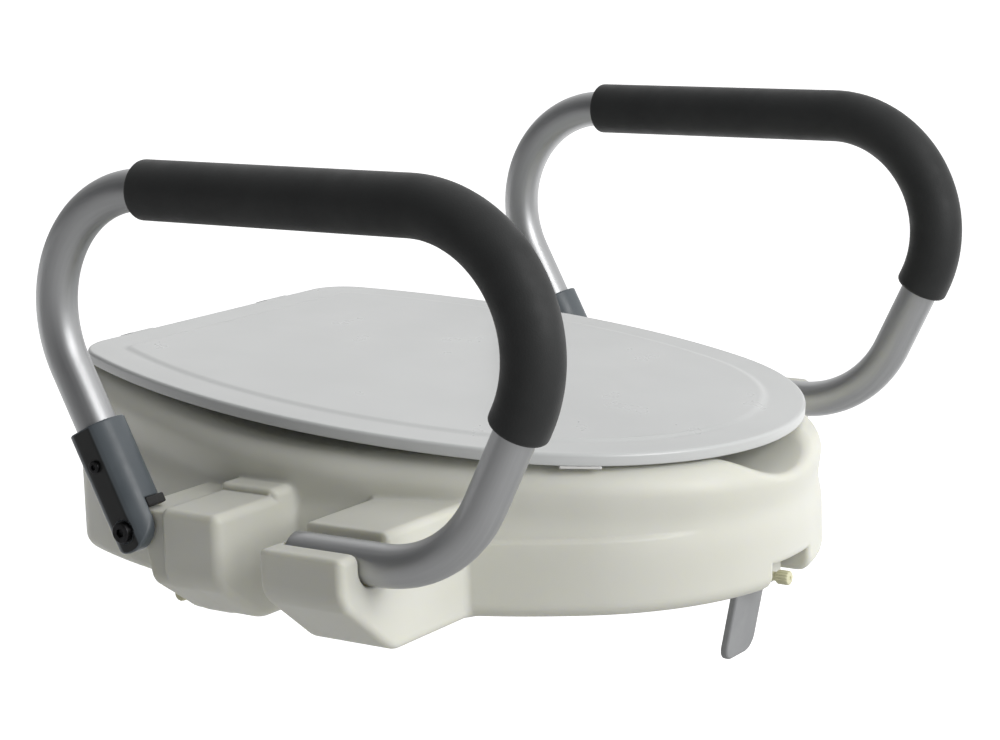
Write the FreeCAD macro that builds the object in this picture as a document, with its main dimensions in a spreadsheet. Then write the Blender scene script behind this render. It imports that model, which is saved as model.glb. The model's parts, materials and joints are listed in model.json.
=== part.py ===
import FreeCAD, Part
import math
import os
import Sketcher
from FreeCAD import Placement, Rotation, Vector

# Raised toilet seat with a hinged lid, two armrests that flip up and three rim clamps.
# Row frame in millimetres: +X towards the user's left, -Y towards the front, +Z up.
# The origin is at the centre of the seat, on the underside that rests on the bowl's rim.

doc = FreeCAD.newDocument("RaisedToiletSeat")

# ---------------------------------------------------------------- driving dimensions
DIMENSIONS = {
    # moulded seat: an egg-shaped outline of tangent arcs
    "seat_half_width": 192.0,
    "seat_widest_y": 48.5,
    "seat_side_radius": 348.7,
    "seat_front_radius": 157.6,
    "seat_haunch_radius": 450.0,
    "seat_rear_y": 259.0,
    "seat_corner_radius": 45.0,
    "seat_wall": 3.5,
    "seat_rim_fillet": 16.0,
    "seat_foot_fillet": 6.0,
    "seat_deck_gap": 2.2,
    "core_floor": 5.5,
    "core_ear_roof": 9.5,
    "ear_root_depth": 42.0,
    # opening over the bowl
    "opening_half_width": 104.0,
    "opening_widest_y": 20.0,
    "opening_side_radius": 200.0,
    "opening_front_radius": 85.0,
    "opening_haunch_radius": 200.0,
    "opening_rear_y": 150.0,
    "opening_corner_radius": 70.0,
    # hygiene dip in the front rim
    "dip_radius": 75.0,
    "dip_bottom_z": 71.0,
    "dip_start_y": -100.0,
    # lid, lying on the sloping deck
    "lid_slope": 5.25,
    "lid_rest_z": 107.4,
    "lid_half_width": 186.9,
    "lid_widest_y": 47.0,
    "lid_side_radius": 402.0,
    "lid_front_radius": 172.5,
    "lid_haunch_radius": 450.0,
    "lid_rear_y": 249.0,
    "lid_corner_radius": 38.0,
    "lid_thickness": 8.4,
    "lid_skin": 3.0,
    "lid_band": 32.0,
    "lid_crown": 1.6,
    "bumper_length": 26.0,
    "bumper_width": 10.0,
    "bumper_thickness": 2.0,
    "bumper_front_x": 126.8,
    "bumper_front_y": -141.7,
    "bumper_front_turn": -40.6,
    "bumper_rear_x": 150.0,
    "bumper_rear_y": 168.0,
    "bumper_rear_turn": 16.0,
    # lid hinge, in the lid's own sloping frame
    "hinge_y": 254.6,
    "hinge_drop": 3.0,
    "hinge_x": 74.0,
    "hinge_pin_radius": 2.5,
    "hinge_lug_radius": 5.5,
    "hinge_lug_width": 24.0,
    "hinge_ear": 6.5,
    "hinge_base": 5.0,
    "hinge_seat_depth": 17.0,
    "hinge_seat_length": 60.0,
    "hinge_seat_height": 40.0,
    "hinge_seat_gap": 0.5,
    "hinge_side_gap": 0.3,
    "hinge_web": 4.0,
    "hinge_block_front_y": 222.0,
    "hinge_screw_y": 230.0,
    "hinge_screw_spacing": 22.0,
    "hinge_screw_radius": 2.0,
    "hinge_screw_length": 13.0,
    "hinge_head_radius": 3.8,
    "hinge_head_height": 2.4,
    "lug_toe": 6.0,
    "lug_heel": 4.0,
    # armrest tube: a flat loop at arm_x
    "arm_x": 258.0,
    "tube_radius": 12.7,
    "tube_wall": 1.6,
    "grip_z": 264.9,
    "slot_z": 57.4,
    "pivot_y": 92.0,
    "pivot_z": 58.5,
    "tube_end_y": -28.0,
    "front_foot_y": -90.7,
    "front_lean": 63.0,
    "front_lower_radius": 80.9,
    "front_upper_radius": 78.3,
    "rear_lean": 62.5,
    "rear_radius": 76.2,
    "foam_radius": 18.1,
    "foam_rear_y": 76.0,
    "foam_drop": 7.0,
    "plug_length": 8.0,
    # knuckle at the foot of each armrest, in a frame that leans with the tube
    "knuckle_radius": 17.5,
    "knuckle_flat": 15.5,
    "sleeve_bottom": 14.0,
    "sleeve_top": 67.0,
    "cheek_inner": 4.3,
    "cheek_end": 13.5,
    "tube_seat": 16.0,
    "knuckle_screw_at": 43.0,
    "knuckle_screw_radius": 2.0,
    "knuckle_screw_head": 3.9,
    "knuckle_screw_head_height": 2.0,
    "knuckle_screw_bite": 2.0,
    "stop_front": 17.0,
    "stop_rear": 11.0,
    "stop_bottom": 8.0,
    "stop_inner": 12.0,
    "stop_gap": 0.4,
    # pivot bolt, washer and nut
    "bolt_radius": 4.0,
    "bolt_head_radius": 6.3,
    "bolt_head_height": 4.0,
    "bolt_length": 45.0,
    "bolt_head_gap": 0.2,
    "bolt_socket_radius": 2.8,
    "bolt_socket_depth": 2.2,
    "washer_radius": 9.5,
    "washer_thickness": 1.5,
    "washer_gap": 0.1,
    "nut_half_width": 6.5,
    "nut_thickness": 6.5,
    "nut_setback": 24.0,
    "nut_gap": 0.2,
    # front ear with the slot that the armrest drops into
    "front_ear_x": 288.0,
    "front_ear_foot_x": 240.5,
    "front_ear_knee_z": 38.0,
    "front_ear_wall_z": 66.0,
    "front_ear_block_z": 72.0,
    "front_ear_front_y": -83.5,
    "front_ear_rear_y": -23.5,
    "slot_clearance": 0.6,
    "slot_end_gap": 0.7,
    # rear ear and pivot lug
    "rear_ear_x": 264.0,
    "rear_ear_foot_x": 226.0,
    "rear_ear_knee_z": 29.0,
    "rear_ear_top_z": 73.0,
    "rear_ear_front_y": 27.0,
    "rear_ear_rear_y": 70.0,
    "lug_x": 260.5,
    "lug_radius": 13.0,
    "lug_ledge_z": 70.4,
    "lug_overlap": 20.0,
    "lug_web": 6.0,
    "lug_heel_y": 5.0,
    "lug_heel_z": 12.0,
    # clamps in notches of the underside: a bracket at the front, a rubber foot at each side
    "clamp_front_z": 2.0,
    "clamp_side_z": -1.0,
    "clamp_front_y": 187.5,
    "clamp_side_x": 176.0,
    "clamp_side_y": 112.0,
    "notch_half_width": 23.5,
    "notch_z": 16.0,
    "notch_depth": 33.0,
    "bracket_width": 37.0,
    "bracket_thickness": 5.0,
    "bracket_drop": 56.0,
    "bracket_rise": 10.0,
    "bracket_lean": 10.0,
    "boss_width": 18.0,
    "boss_depth": 12.0,
    "clamp_screw_radius": 3.0,
    "clamp_knob_radius": 4.6,
    "clamp_knob_length": 8.5,
    "clamp_collar": 1.5,
    "clamp_reach": 27.5,
    "clamp_tail": 4.0,
    "clamp_play": 0.3,
    "bearing_at": 8.0,
    "bearing_thickness": 5.0,
    "bearing_width": 30.0,
    "bearing_drop": 5.0,
    "foot_radius": 6.0,
    "foot_length": 8.0,
    "running_gap": 0.05,
    # non-slip pads under the seat
    "pad_length": 50.0,
    "pad_width": 20.0,
    "pad_thickness": 3.0,
    "pad_proud": 1.0,
    "pad_front_x": 95.0,
    "pad_front_y": -137.0,
    "pad_rear_x": 110.0,
    "pad_rear_y": 205.0,
}

sheet = doc.addObject("Spreadsheet::Sheet", "Sizes")
for row, (alias, number) in enumerate(DIMENSIONS.items(), start=1):
    sheet.set(f"A{row}", alias)
    sheet.set(f"B{row}", str(number))
    sheet.setAlias(f"B{row}", alias)
doc.recompute()


class Size:
    """A number together with the spreadsheet expression that gives it."""

    def __init__(self, value, text):
        self.value = float(value)
        self.text = text

    def __add__(self, other):
        other = sized(other)
        return Size(self.value + other.value, f"({self.text} + {other.text})")

    def __sub__(self, other):
        other = sized(other)
        return Size(self.value - other.value, f"({self.text} - {other.text})")

    def __mul__(self, other):
        other = sized(other)
        return Size(self.value * other.value, f"({self.text} * {other.text})")

    def __truediv__(self, other):
        other = sized(other)
        return Size(self.value / other.value, f"({self.text} / {other.text})")

    def __radd__(self, other):
        return sized(other) + self

    def __rsub__(self, other):
        return sized(other) - self

    def __rmul__(self, other):
        return sized(other) * self

    def __neg__(self):
        return sized(0.0) - self


def sized(number):
    return number if isinstance(number, Size) else Size(number, f"({float(number):.6f})")


def size(alias):
    """The named dimension, read from the spreadsheet."""
    return Size(sheet.get(alias), f"Sizes.{alias}")


def root(number):
    return Size(math.sqrt(number.value), f"sqrt({number.text})")


def sine(angle):
    return Size(math.sin(math.radians(angle.value)), f"sin({angle.text} * 1 deg)")


def cosine(angle):
    return Size(math.cos(math.radians(angle.value)), f"cos({angle.text} * 1 deg)")


def bind(item, prop, number):
    """Sets a property to a size and ties it to the spreadsheet."""
    number = sized(number)
    setattr(item, prop, number.value)
    item.setExpression(prop, number.text)


def place(item, x=0.0, y=0.0, z=0.0, axis=Vector(1, 0, 0), angle=0.0):
    """Puts an object at x, y, z, turned about axis, and ties its place to the spreadsheet."""
    x, y, z, angle = sized(x), sized(y), sized(z), sized(angle)
    item.Placement = Placement(Vector(x.value, y.value, z.value), Rotation(axis, angle.value))
    item.setExpression("Placement.Base.x", x.text)
    item.setExpression("Placement.Base.y", y.text)
    item.setExpression("Placement.Base.z", z.text)
    if abs(angle.value) > 0:
        item.setExpression("Placement.Rotation.Angle", f"{angle.text} * 1 deg")


# ---------------------------------------------------------------- sketch helpers
ORIGIN = (-1, 1)
LEAST_CUT = 0.5
TOUCH = 0.01


def new_body(name):
    return doc.addObject("PartDesign::Body", name)


def new_sketch(body, role, name, offset=None):
    """A sketch on one of the body's own origin planes, moved along the plane's normal."""
    plane = [feature for feature in body.Origin.OriginFeatures if feature.Role == role][0]
    sketch = body.newObject("Sketcher::SketchObject", name)
    sketch.AttachmentSupport = [(plane, "")]
    sketch.MapMode = "FlatFace"
    if offset is not None:
        sketch.AttachmentOffset = Placement(Vector(0, 0, offset.value), Rotation())
        sketch.setExpression("AttachmentOffset.Base.z", offset.text)
    return sketch


def constrain(sketch, kind, *arguments, to=None):
    number = sketch.addConstraint(Sketcher.Constraint(kind, *arguments, to.value))
    sketch.setExpression(f"Constraints[{number}]", to.text)


def pin_point(sketch, geometry, end, x, y):
    """Ties one end of a sketch line or arc to a place given by two sizes."""
    constrain(sketch, "DistanceX", *ORIGIN, geometry, end, to=sized(x))
    constrain(sketch, "DistanceY", *ORIGIN, geometry, end, to=sized(y))


def arc_between(start, end, radius, turn):
    """The short arc from start to end; turn is 1 for anticlockwise and -1 for clockwise."""
    first, last = Vector(*start), Vector(*end)
    half = (last - first).Length / 2
    across = (last - first).normalize()
    inward = Vector(-across.y, across.x, 0) * turn
    centre = (first + last) / 2 + inward * math.sqrt(max(radius * radius - half * half, 0.0))
    low, high = (first, last) if turn > 0 else (last, first)
    begin = math.atan2(low.y - centre.y, low.x - centre.x)
    finish = math.atan2(high.y - centre.y, high.x - centre.x)
    return Part.ArcOfCircle(Part.Circle(centre, Vector(0, 0, 1), radius), begin, finish)


def draw(sketch, points, bends=None, closed=True):
    """Lines and arcs through points; bends gives {segment: (radius, turn)} for the arcs."""
    bends = bends or {}
    points = [(sized(x), sized(y)) for x, y in points]
    spans = len(points) if closed else len(points) - 1
    ends = []
    for span in range(spans):
        here, there = points[span], points[(span + 1) % len(points)]
        start = (here[0].value, here[1].value, 0)
        end = (there[0].value, there[1].value, 0)
        if span in bends:
            radius, turn = bends[span]
            number = sketch.addGeometry(arc_between(start, end, radius.value, turn), False)
            constrain(sketch, "Radius", number, to=radius)
            ends.append((number, 1, 2) if turn > 0 else (number, 2, 1))
        else:
            number = sketch.addGeometry(Part.LineSegment(Vector(*start), Vector(*end)), False)
            ends.append((number, 1, 2))
        pin_point(sketch, number, ends[-1][1], *here)
    for span in range(spans if closed else spans - 1):
        number, _, last = ends[span]
        following, first, _ = ends[(span + 1) % spans]
        sketch.addConstraint(Sketcher.Constraint("Coincident", number, last, following, first))
    if not closed:
        pin_point(sketch, ends[-1][0], ends[-1][2], *points[-1])


def draw_circle(sketch, x, y, radius):
    x, y, radius = sized(x), sized(y), sized(radius)
    circle = Part.Circle(Vector(x.value, y.value, 0), Vector(0, 0, 1), radius.value)
    number = sketch.addGeometry(circle, False)
    constrain(sketch, "Radius", number, to=radius)
    pin_point(sketch, number, 3, x, y)


def draw_box(sketch, x_low, x_high, y_low, y_high):
    draw(sketch, [(x_low, y_low), (x_high, y_low), (x_high, y_high), (x_low, y_high)])


def draw_both(sketch, points, bends=None):
    """Draws a closed outline on the +X side and its mirror image on the -X side."""
    draw(sketch, points, bends)
    mirrored = [(-sized(x), y) for x, y in points]
    turned = {span: (radius, -turn) for span, (radius, turn) in (bends or {}).items()}
    draw(sketch, mirrored, turned)


def draw_egg(sketch, half_width, widest_y, side_radius, front_radius, haunch_radius, rear_y, corner_radius):
    """A closed egg of tangent arcs: front, sides, haunches and corners, with a straight rear edge."""
    side_x = half_width - side_radius
    fall = root((side_radius - front_radius) * (side_radius - front_radius) - side_x * side_x)
    front_share = front_radius / (side_radius - front_radius)
    front = (-side_x * front_share, widest_y - fall - fall * front_share)
    haunch_x = half_width - haunch_radius
    bend = haunch_radius - corner_radius
    corner_y = rear_y - corner_radius
    rise = corner_y - widest_y
    reach = root(bend * bend - rise * rise)
    corner_x = haunch_x + reach
    corner_share = corner_radius / bend
    corner = (corner_x + reach * corner_share, corner_y + rise * corner_share)
    points = [(-front[0], front[1]), front, (half_width, widest_y), corner, (corner_x, rear_y)]
    points += [(-corner_x, rear_y), (-corner[0], corner[1]), (-half_width, widest_y)]
    bends = {0: (front_radius, 1), 1: (side_radius, 1), 2: (haunch_radius, 1), 3: (corner_radius, 1)}
    bends.update({5: (corner_radius, 1), 6: (haunch_radius, 1), 7: (side_radius, 1)})
    draw(sketch, points, bends)


def pad(body, sketch, length, reversed_way=False, midplane=False):
    feature = body.newObject("PartDesign::Pad", sketch.Name + "Pad")
    feature.Profile = sketch
    bind(feature, "Length", length)
    feature.Reversed = reversed_way
    feature.Midplane = midplane
    doc.recompute()
    return feature


def pocket(body, sketch, length, reversed_way=False, midplane=False):
    """Cuts a sketch's outline out of the body and makes sure that it removes material."""
    before = body.Shape.Volume
    feature = body.newObject("PartDesign::Pocket", sketch.Name + "Pocket")
    feature.Profile = sketch
    bind(feature, "Length", length)
    feature.Reversed = reversed_way
    feature.Midplane = midplane
    doc.recompute()
    if body.Shape.Volume > before - LEAST_CUT:
        raise ValueError(f"{sketch.Name} removes nothing")
    return feature


def fillet(body, radius, wanted):
    """Rounds each edge of the body that the test accepts."""
    tip = body.Tip
    names = [f"Edge{n}" for n, edge in enumerate(tip.Shape.Edges, start=1) if wanted(edge)]
    feature = body.newObject("PartDesign::Fillet", tip.Name + "Fillet")
    feature.Base = (tip, names)
    bind(feature, "Radius", radius)
    doc.recompute()
    return feature


def pipe(body, section, path):
    feature = body.newObject("PartDesign::AdditivePipe", path.Name + "Pipe")
    feature.Profile = section
    feature.Spine = path
    doc.recompute()
    return feature


# ---------------------------------------------------------------- Part helpers
def box(name, x, y, z, length, width, height):
    item = doc.addObject("Part::Box", name)
    bind(item, "Length", length)
    bind(item, "Width", width)
    bind(item, "Height", height)
    place(item, x, y, z)
    return item


TURNS = {"x": (Vector(0, 1, 0), 90.0), "-x": (Vector(0, 1, 0), -90.0),
         "y": (Vector(1, 0, 0), -90.0), "z": (Vector(1, 0, 0), 0.0)}


def cylinder(name, radius, height, x=0.0, y=0.0, z=0.0, along="z"):
    item = doc.addObject("Part::Cylinder", name)
    bind(item, "Radius", radius)
    bind(item, "Height", height)
    axis, angle = TURNS[along]
    place(item, x, y, z, axis, angle)
    return item


def join(name, items):
    result = doc.addObject("Part::MultiFuse", name)
    result.Shapes = items
    doc.recompute()
    return result


def common(name, items):
    result = doc.addObject("Part::MultiCommon", name)
    result.Shapes = items
    doc.recompute()
    return result


def cut(name, base, tool):
    """Base without tool, which has to remove some material."""
    result = doc.addObject("Part::Cut", name)
    result.Base = base
    result.Tool = tool
    doc.recompute()
    if result.Shape.Volume > base.Shape.Volume - LEAST_CUT:
        raise ValueError(f"{name} removes nothing")
    return result


NODES = []


def node(item, label):
    """Names a finished sub-part; the label is its node and file name."""
    item.Label = label
    NODES.append(item)
    return item


# ---------------------------------------------------------------- shared places
WALL = size("seat_wall")
GAP = size("running_gap")
SLOPE = size("lid_slope")
RISE = sine(SLOPE) / cosine(SLOPE)
FAR = 300.0
PAST = 1.0
HEXAGON_CORNER = 2.0 / math.sqrt(3.0)

ARM_X = size("arm_x")
TUBE = size("tube_radius")
PIVOT_Y = size("pivot_y")
PIVOT_Z = size("pivot_z")
REAR_TILT = 90.0 - size("rear_lean")
SLOT_RADIUS = TUBE + size("slot_clearance")
SLOT_END = size("tube_end_y") + size("slot_end_gap")


def lid_frame(item, x=0.0, y=0.0, z=0.0):
    """Places an object given in the lid's sloping frame, whose z is 0 on the lid's underside."""
    x, y, z = sized(x), sized(y), sized(z)
    row_y = y * cosine(SLOPE) - z * sine(SLOPE)
    row_z = size("lid_rest_z") + y * sine(SLOPE) + z * cosine(SLOPE)
    place(item, x, row_y, row_z, Vector(1, 0, 0), SLOPE)


def egg_of(sketch, kind, inset=0.0):
    """The seat, opening or lid outline, moved inwards by inset."""
    draw_egg(
        sketch,
        size(f"{kind}_half_width") - inset,
        size(f"{kind}_widest_y"),
        size(f"{kind}_side_radius") - inset,
        size(f"{kind}_front_radius") - inset,
        size(f"{kind}_haunch_radius") - inset,
        size(f"{kind}_rear_y") - inset,
        size(f"{kind}_corner_radius") - inset,
    )


def deck_z(y, lowered=0.0):
    """Height of the sloping deck at y, lowered by some depth."""
    return size("lid_rest_z") - size("seat_deck_gap") + y * RISE - lowered


def slope_cut(body, name, lowered=0.0):
    """Cuts everything above the sloping deck."""
    front, rear = sized(-FAR), sized(FAR)
    sketch = new_sketch(body, "YZ_Plane", name)
    top = size("lid_rest_z") + FAR
    low = [(front, deck_z(front, lowered)), (rear, deck_z(rear, lowered))]
    draw(sketch, low + [(rear, top), (front, top)])
    pocket(body, sketch, 2.0 * FAR, midplane=True)


DIP_SHARE = 0.9


def dip_cut(body, name, grown=0.0):
    """The rounded dip across the front rim, open to the opening and to the front."""
    radius = size("dip_radius") + grown
    centre_z = size("dip_bottom_z") + size("dip_radius")
    sketch = new_sketch(body, "XZ_Plane", name, -size("dip_start_y"))
    side = radius * DIP_SHARE
    edge_z = centre_z - root(radius * radius - side * side)
    draw(sketch, [(-side, edge_z), (side, edge_z), (side, centre_z), (-side, centre_z)], {0: (radius, 1)})
    pocket(body, sketch, FAR, reversed_way=True)


def notch_cut(body, name, grown=0.0):
    """Underside notches for the front clamp and the two side clamps."""
    half = size("notch_half_width") + grown
    deep = size("notch_depth") + grown
    sketch = new_sketch(body, "XY_Plane", name)
    draw_box(sketch, -half, half, sized(-FAR), deep - size("clamp_front_y"))
    low, high = size("clamp_side_y") - half, size("clamp_side_y") + half
    inner = size("clamp_side_x") - deep
    outer = sized(FAR)
    draw_both(sketch, [(inner, low), (outer, low), (outer, high), (inner, high)])
    pocket(body, sketch, size("notch_z") + grown, reversed_way=True)


def opening_cut(body, name, inset=0.0):
    sketch = new_sketch(body, "XY_Plane", name)
    egg_of(sketch, "opening", inset)
    pocket(body, sketch, 2.0 * FAR, midplane=True)


# ---------------------------------------------------------------- seat shell
EAR_ROOT = size("seat_half_width") - size("ear_root_depth")


def front_ear_outline(with_slot):
    """Section of the front ear across the seat, from inside the seat's wall outwards."""
    top = size("front_ear_wall_z")
    points = [(EAR_ROOT, 0.0), (size("front_ear_foot_x"), 0.0)]
    points += [(size("front_ear_x"), size("front_ear_knee_z")), (size("front_ear_x"), top)]
    if not with_slot:
        return points + [(EAR_ROOT, top)], {}
    outer, inner = ARM_X + SLOT_RADIUS, ARM_X - SLOT_RADIUS
    floor = size("slot_z") - SLOT_RADIUS
    points += [(outer, top), (outer, size("slot_z")), (ARM_X, floor), (inner, size("slot_z"))]
    points += [(inner, size("front_ear_block_z")), (EAR_ROOT, size("front_ear_block_z"))]
    return points, {5: (SLOT_RADIUS, -1), 6: (SLOT_RADIUS, -1)}


def make_outer():
    """The seat's outside, with its ears, pivot lugs, opening, dip and notches."""
    body = new_body("ShellOuter")
    sketch = new_sketch(body, "XY_Plane", "SeatOutline")
    egg_of(sketch, "seat")
    pad(body, sketch, deck_z(sized(FAR)))
    slope_cut(body, "DeckSlope")

    def on_deck(edge):
        return all(abs(v.Z - deck_z(sized(v.Y)).value) < TOUCH for v in edge.Vertexes)

    def on_floor(edge):
        return all(abs(v.Z) < TOUCH for v in edge.Vertexes)

    fillet(body, size("seat_rim_fillet"), on_deck)
    fillet(body, size("seat_foot_fillet"), on_floor)

    sketch = new_sketch(body, "XZ_Plane", "FrontEarRear", -size("front_ear_rear_y"))
    draw_both(sketch, *front_ear_outline(False))
    pad(body, sketch, size("front_ear_rear_y") - SLOT_END)
    sketch = new_sketch(body, "XZ_Plane", "FrontEarSlot", -SLOT_END)
    draw_both(sketch, *front_ear_outline(True))
    pad(body, sketch, SLOT_END - size("front_ear_front_y"))

    sketch = new_sketch(body, "XZ_Plane", "RearEar", -size("rear_ear_rear_y"))
    knee = (size("rear_ear_x"), size("rear_ear_knee_z"))
    points = [(EAR_ROOT, 0.0), (size("rear_ear_foot_x"), 0.0), knee]
    points += [(knee[0], size("rear_ear_top_z")), (EAR_ROOT, size("rear_ear_top_z"))]
    draw_both(sketch, points)
    pad(body, sketch, size("rear_ear_rear_y") - size("rear_ear_front_y"))

    sketch = new_sketch(body, "YZ_Plane", "PivotLug")
    radius, ledge = size("lug_radius"), size("lug_ledge_z")
    ledge_end = PIVOT_Y - root(radius * radius - (ledge - PIVOT_Z) * (ledge - PIVOT_Z))
    web_start = size("rear_ear_rear_y") - size("lug_overlap")
    points = [(web_start, 0.0), (size("rear_ear_rear_y") + size("lug_web"), 0.0)]
    points += [(PIVOT_Y - size("lug_heel_y"), PIVOT_Z - size("lug_heel_z")), (PIVOT_Y + radius, PIVOT_Z)]
    points += [(ledge_end, ledge), (web_start, ledge)]
    draw(sketch, points, {2: (radius, 1), 3: (radius, 1)})
    pad(body, sketch, 2.0 * size("lug_x"), midplane=True)
    sketch = new_sketch(body, "XZ_Plane", "LugUnderside", -PIVOT_Y - 2.0 * radius)
    beyond, foot = sized(FAR), size("rear_ear_foot_x")
    draw_both(sketch, [(foot, 0.0), (foot, -PAST), (beyond, -PAST), (beyond, knee[1]), knee])
    pocket(body, sketch, PIVOT_Y + 2.0 * radius - web_start + PAST, reversed_way=True)

    opening_cut(body, "Opening")
    dip_cut(body, "HygieneDip")
    notch_cut(body, "ClampNotches")

    for side, name in ((1.0, "Left"), (-1.0, "Right")):
        sketch = new_sketch(body, "YZ_Plane", "PivotBore" + name, side * size("lug_x"))
        draw_circle(sketch, PIVOT_Y, PIVOT_Z, size("bolt_radius") + GAP)
        pocket(body, sketch, size("bolt_length"), reversed_way=side < 0)

    sketch = new_sketch(body, "XY_Plane", "NutSlots")
    nut_x = size("lug_x") - size("nut_setback")
    half = size("nut_half_width") + size("nut_gap")
    near, beyond = nut_x - size("nut_gap"), nut_x + size("nut_thickness") + size("nut_gap")
    low, high = PIVOT_Y - half, PIVOT_Y + half
    draw_both(sketch, [(near, low), (beyond, low), (beyond, high), (near, high)])
    pocket(body, sketch, PIVOT_Z + half * HEXAGON_CORNER, reversed_way=True)

    sketch = new_sketch(body, "XY_Plane", "PadSeats")
    for x, y in PAD_PLACES:
        draw_box(sketch, x - size("pad_length") / 2.0, x + size("pad_length") / 2.0,
                 y - size("pad_width") / 2.0, y + size("pad_width") / 2.0)
    pocket(body, sketch, size("pad_thickness") - size("pad_proud"), reversed_way=True)
    return body


PAD_PLACES = [(size("pad_front_x"), size("pad_front_y")), (-size("pad_front_x"), size("pad_front_y")),
              (size("pad_rear_x"), size("pad_rear_y")), (-size("pad_rear_x"), size("pad_rear_y"))]


def make_core():
    """The hollow of the blow-moulded seat: the outside moved inwards by the wall."""
    body = new_body("ShellCore")
    floor = size("core_floor")
    sketch = new_sketch(body, "XY_Plane", "CoreOutline", floor)
    egg_of(sketch, "seat", WALL)
    pad(body, sketch, deck_z(sized(FAR)))
    slope_cut(body, "CoreSlope", WALL)

    sketch = new_sketch(body, "XZ_Plane", "FrontEarCore", WALL - size("front_ear_rear_y"))
    inner = ARM_X - SLOT_RADIUS - WALL
    under = size("slot_z") - SLOT_RADIUS - WALL
    roof = size("front_ear_block_z") - size("core_ear_roof")
    points = [(EAR_ROOT, floor), (size("front_ear_foot_x") - WALL, floor)]
    points += [(ARM_X, WALL + size("front_ear_knee_z") / 2.0), (ARM_X, under), (inner, under)]
    points += [(inner, roof), (EAR_ROOT, roof)]
    draw_both(sketch, points)
    pad(body, sketch, size("front_ear_rear_y") - size("front_ear_front_y") - 2.0 * WALL)

    sketch = new_sketch(body, "XZ_Plane", "RearEarCore", WALL - size("rear_ear_rear_y"))
    top = size("rear_ear_top_z") - WALL
    side = size("rear_ear_x") - WALL
    points = [(EAR_ROOT, floor), (size("rear_ear_foot_x") - WALL, floor)]
    points += [(side, size("rear_ear_knee_z") + WALL), (side, top), (EAR_ROOT, top)]
    draw_both(sketch, points)
    pad(body, sketch, size("rear_ear_rear_y") - size("rear_ear_front_y") - 2.0 * WALL)

    opening_cut(body, "OpeningTube", -WALL)
    dip_cut(body, "DipSkin", WALL)
    notch_cut(body, "NotchSkin", WALL)
    return body


def hinge_seats(name, grown=0.0):
    """Blocks of the two recesses in the rear rim that hold the lid's hinge blocks."""
    gap = size("hinge_seat_gap")
    width = size("hinge_lug_width") + 2.0 * (size("hinge_ear") + gap + grown)
    front = size("hinge_block_front_y") - gap - grown
    seats = []
    for side, label in ((1.0, "Left"), (-1.0, "Right")):
        item = box(name + label, 0.0, 0.0, 0.0, width, size("hinge_seat_length"), size("hinge_seat_height"))
        lid_frame(item, side * size("hinge_x") - width / 2.0, front, -size("hinge_seat_depth") - grown)
        seats.append(item)
    return join(name, seats)


def hinge_screw_places():
    for side in (1.0, -1.0):
        for step in (-0.5, 0.5):
            yield side * size("hinge_x") + step * size("hinge_screw_spacing")


def make_shell():
    core = cut("ShellHollow", make_core(), hinge_seats("HingeSkin", WALL))
    hollow = cut("ShellWalls", make_outer(), core)
    tools = [hinge_seats("HingeSeat")]
    for number, x in enumerate(hinge_screw_places(), start=1):
        hole = cylinder(f"HingePilot{number}", size("hinge_screw_radius"), size("hinge_screw_length"))
        low = PAST - size("hinge_seat_depth") - size("hinge_screw_length")
        lid_frame(hole, x, size("hinge_screw_y"), low)
        tools.append(hole)
    node(cut("SeatShell", hollow, join("HingeTools", tools)), "seat_shell")


def make_pads():
    """Four non-slip pads, set into the underside and standing a little proud of it."""
    body_list = []
    for number, (x, y) in enumerate(PAD_PLACES, start=1):
        length, width = size("pad_length"), size("pad_width")
        body_list.append(box(f"Pad{number}", x - length / 2.0, y - width / 2.0, -size("pad_proud"),
                             length, width, size("pad_thickness")))
    result = doc.addObject("Part::Compound", "NonSlipPads")
    result.Links = body_list
    node(result, "non_slip_pads")


# ---------------------------------------------------------------- lid and its hinge
def make_lid():
    """Lid with a full-thickness border band, a thin crowned panel and two hinge lugs."""
    body = new_body("Lid")
    sketch = new_sketch(body, "XY_Plane", "LidOutline")
    egg_of(sketch, "lid")
    pad(body, sketch, size("lid_thickness"))

    sketch = new_sketch(body, "XY_Plane", "LidPanel", size("lid_thickness"))
    egg_of(sketch, "lid", size("lid_band"))
    pad(body, sketch, size("lid_crown"))

    sketch = new_sketch(body, "XY_Plane", "LidHollow")
    egg_of(sketch, "lid", size("lid_band") + size("lid_skin"))
    pocket(body, sketch, size("lid_thickness") + size("lid_crown") - size("lid_skin"), reversed_way=True)

    radius = size("hinge_lug_radius")
    for side, name in ((1.0, "Left"), (-1.0, "Right")):
        middle = side * size("hinge_x") - size("hinge_lug_width") / 2.0
        sketch = new_sketch(body, "YZ_Plane", "Lug" + name, middle)
        y, z = size("hinge_y"), -size("hinge_drop")
        points = [(y - radius, z), (y, z - radius), (y + radius, z), (y + radius, z + radius)]
        points += [(size("lid_rear_y") - size("lug_heel"), size("lid_thickness") - PAST)]
        points += [(y - radius - size("lug_toe"), sized(PAST))]
        draw(sketch, points, {0: (radius, 1), 1: (radius, 1)})
        pad(body, sketch, size("hinge_lug_width"))
    sketch = new_sketch(body, "YZ_Plane", "LugBore")
    draw_circle(sketch, size("hinge_y"), -size("hinge_drop"), size("hinge_pin_radius") + GAP)
    pocket(body, sketch, 2.0 * FAR, midplane=True)
    lid_frame(body)
    node(body, "lid")


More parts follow.
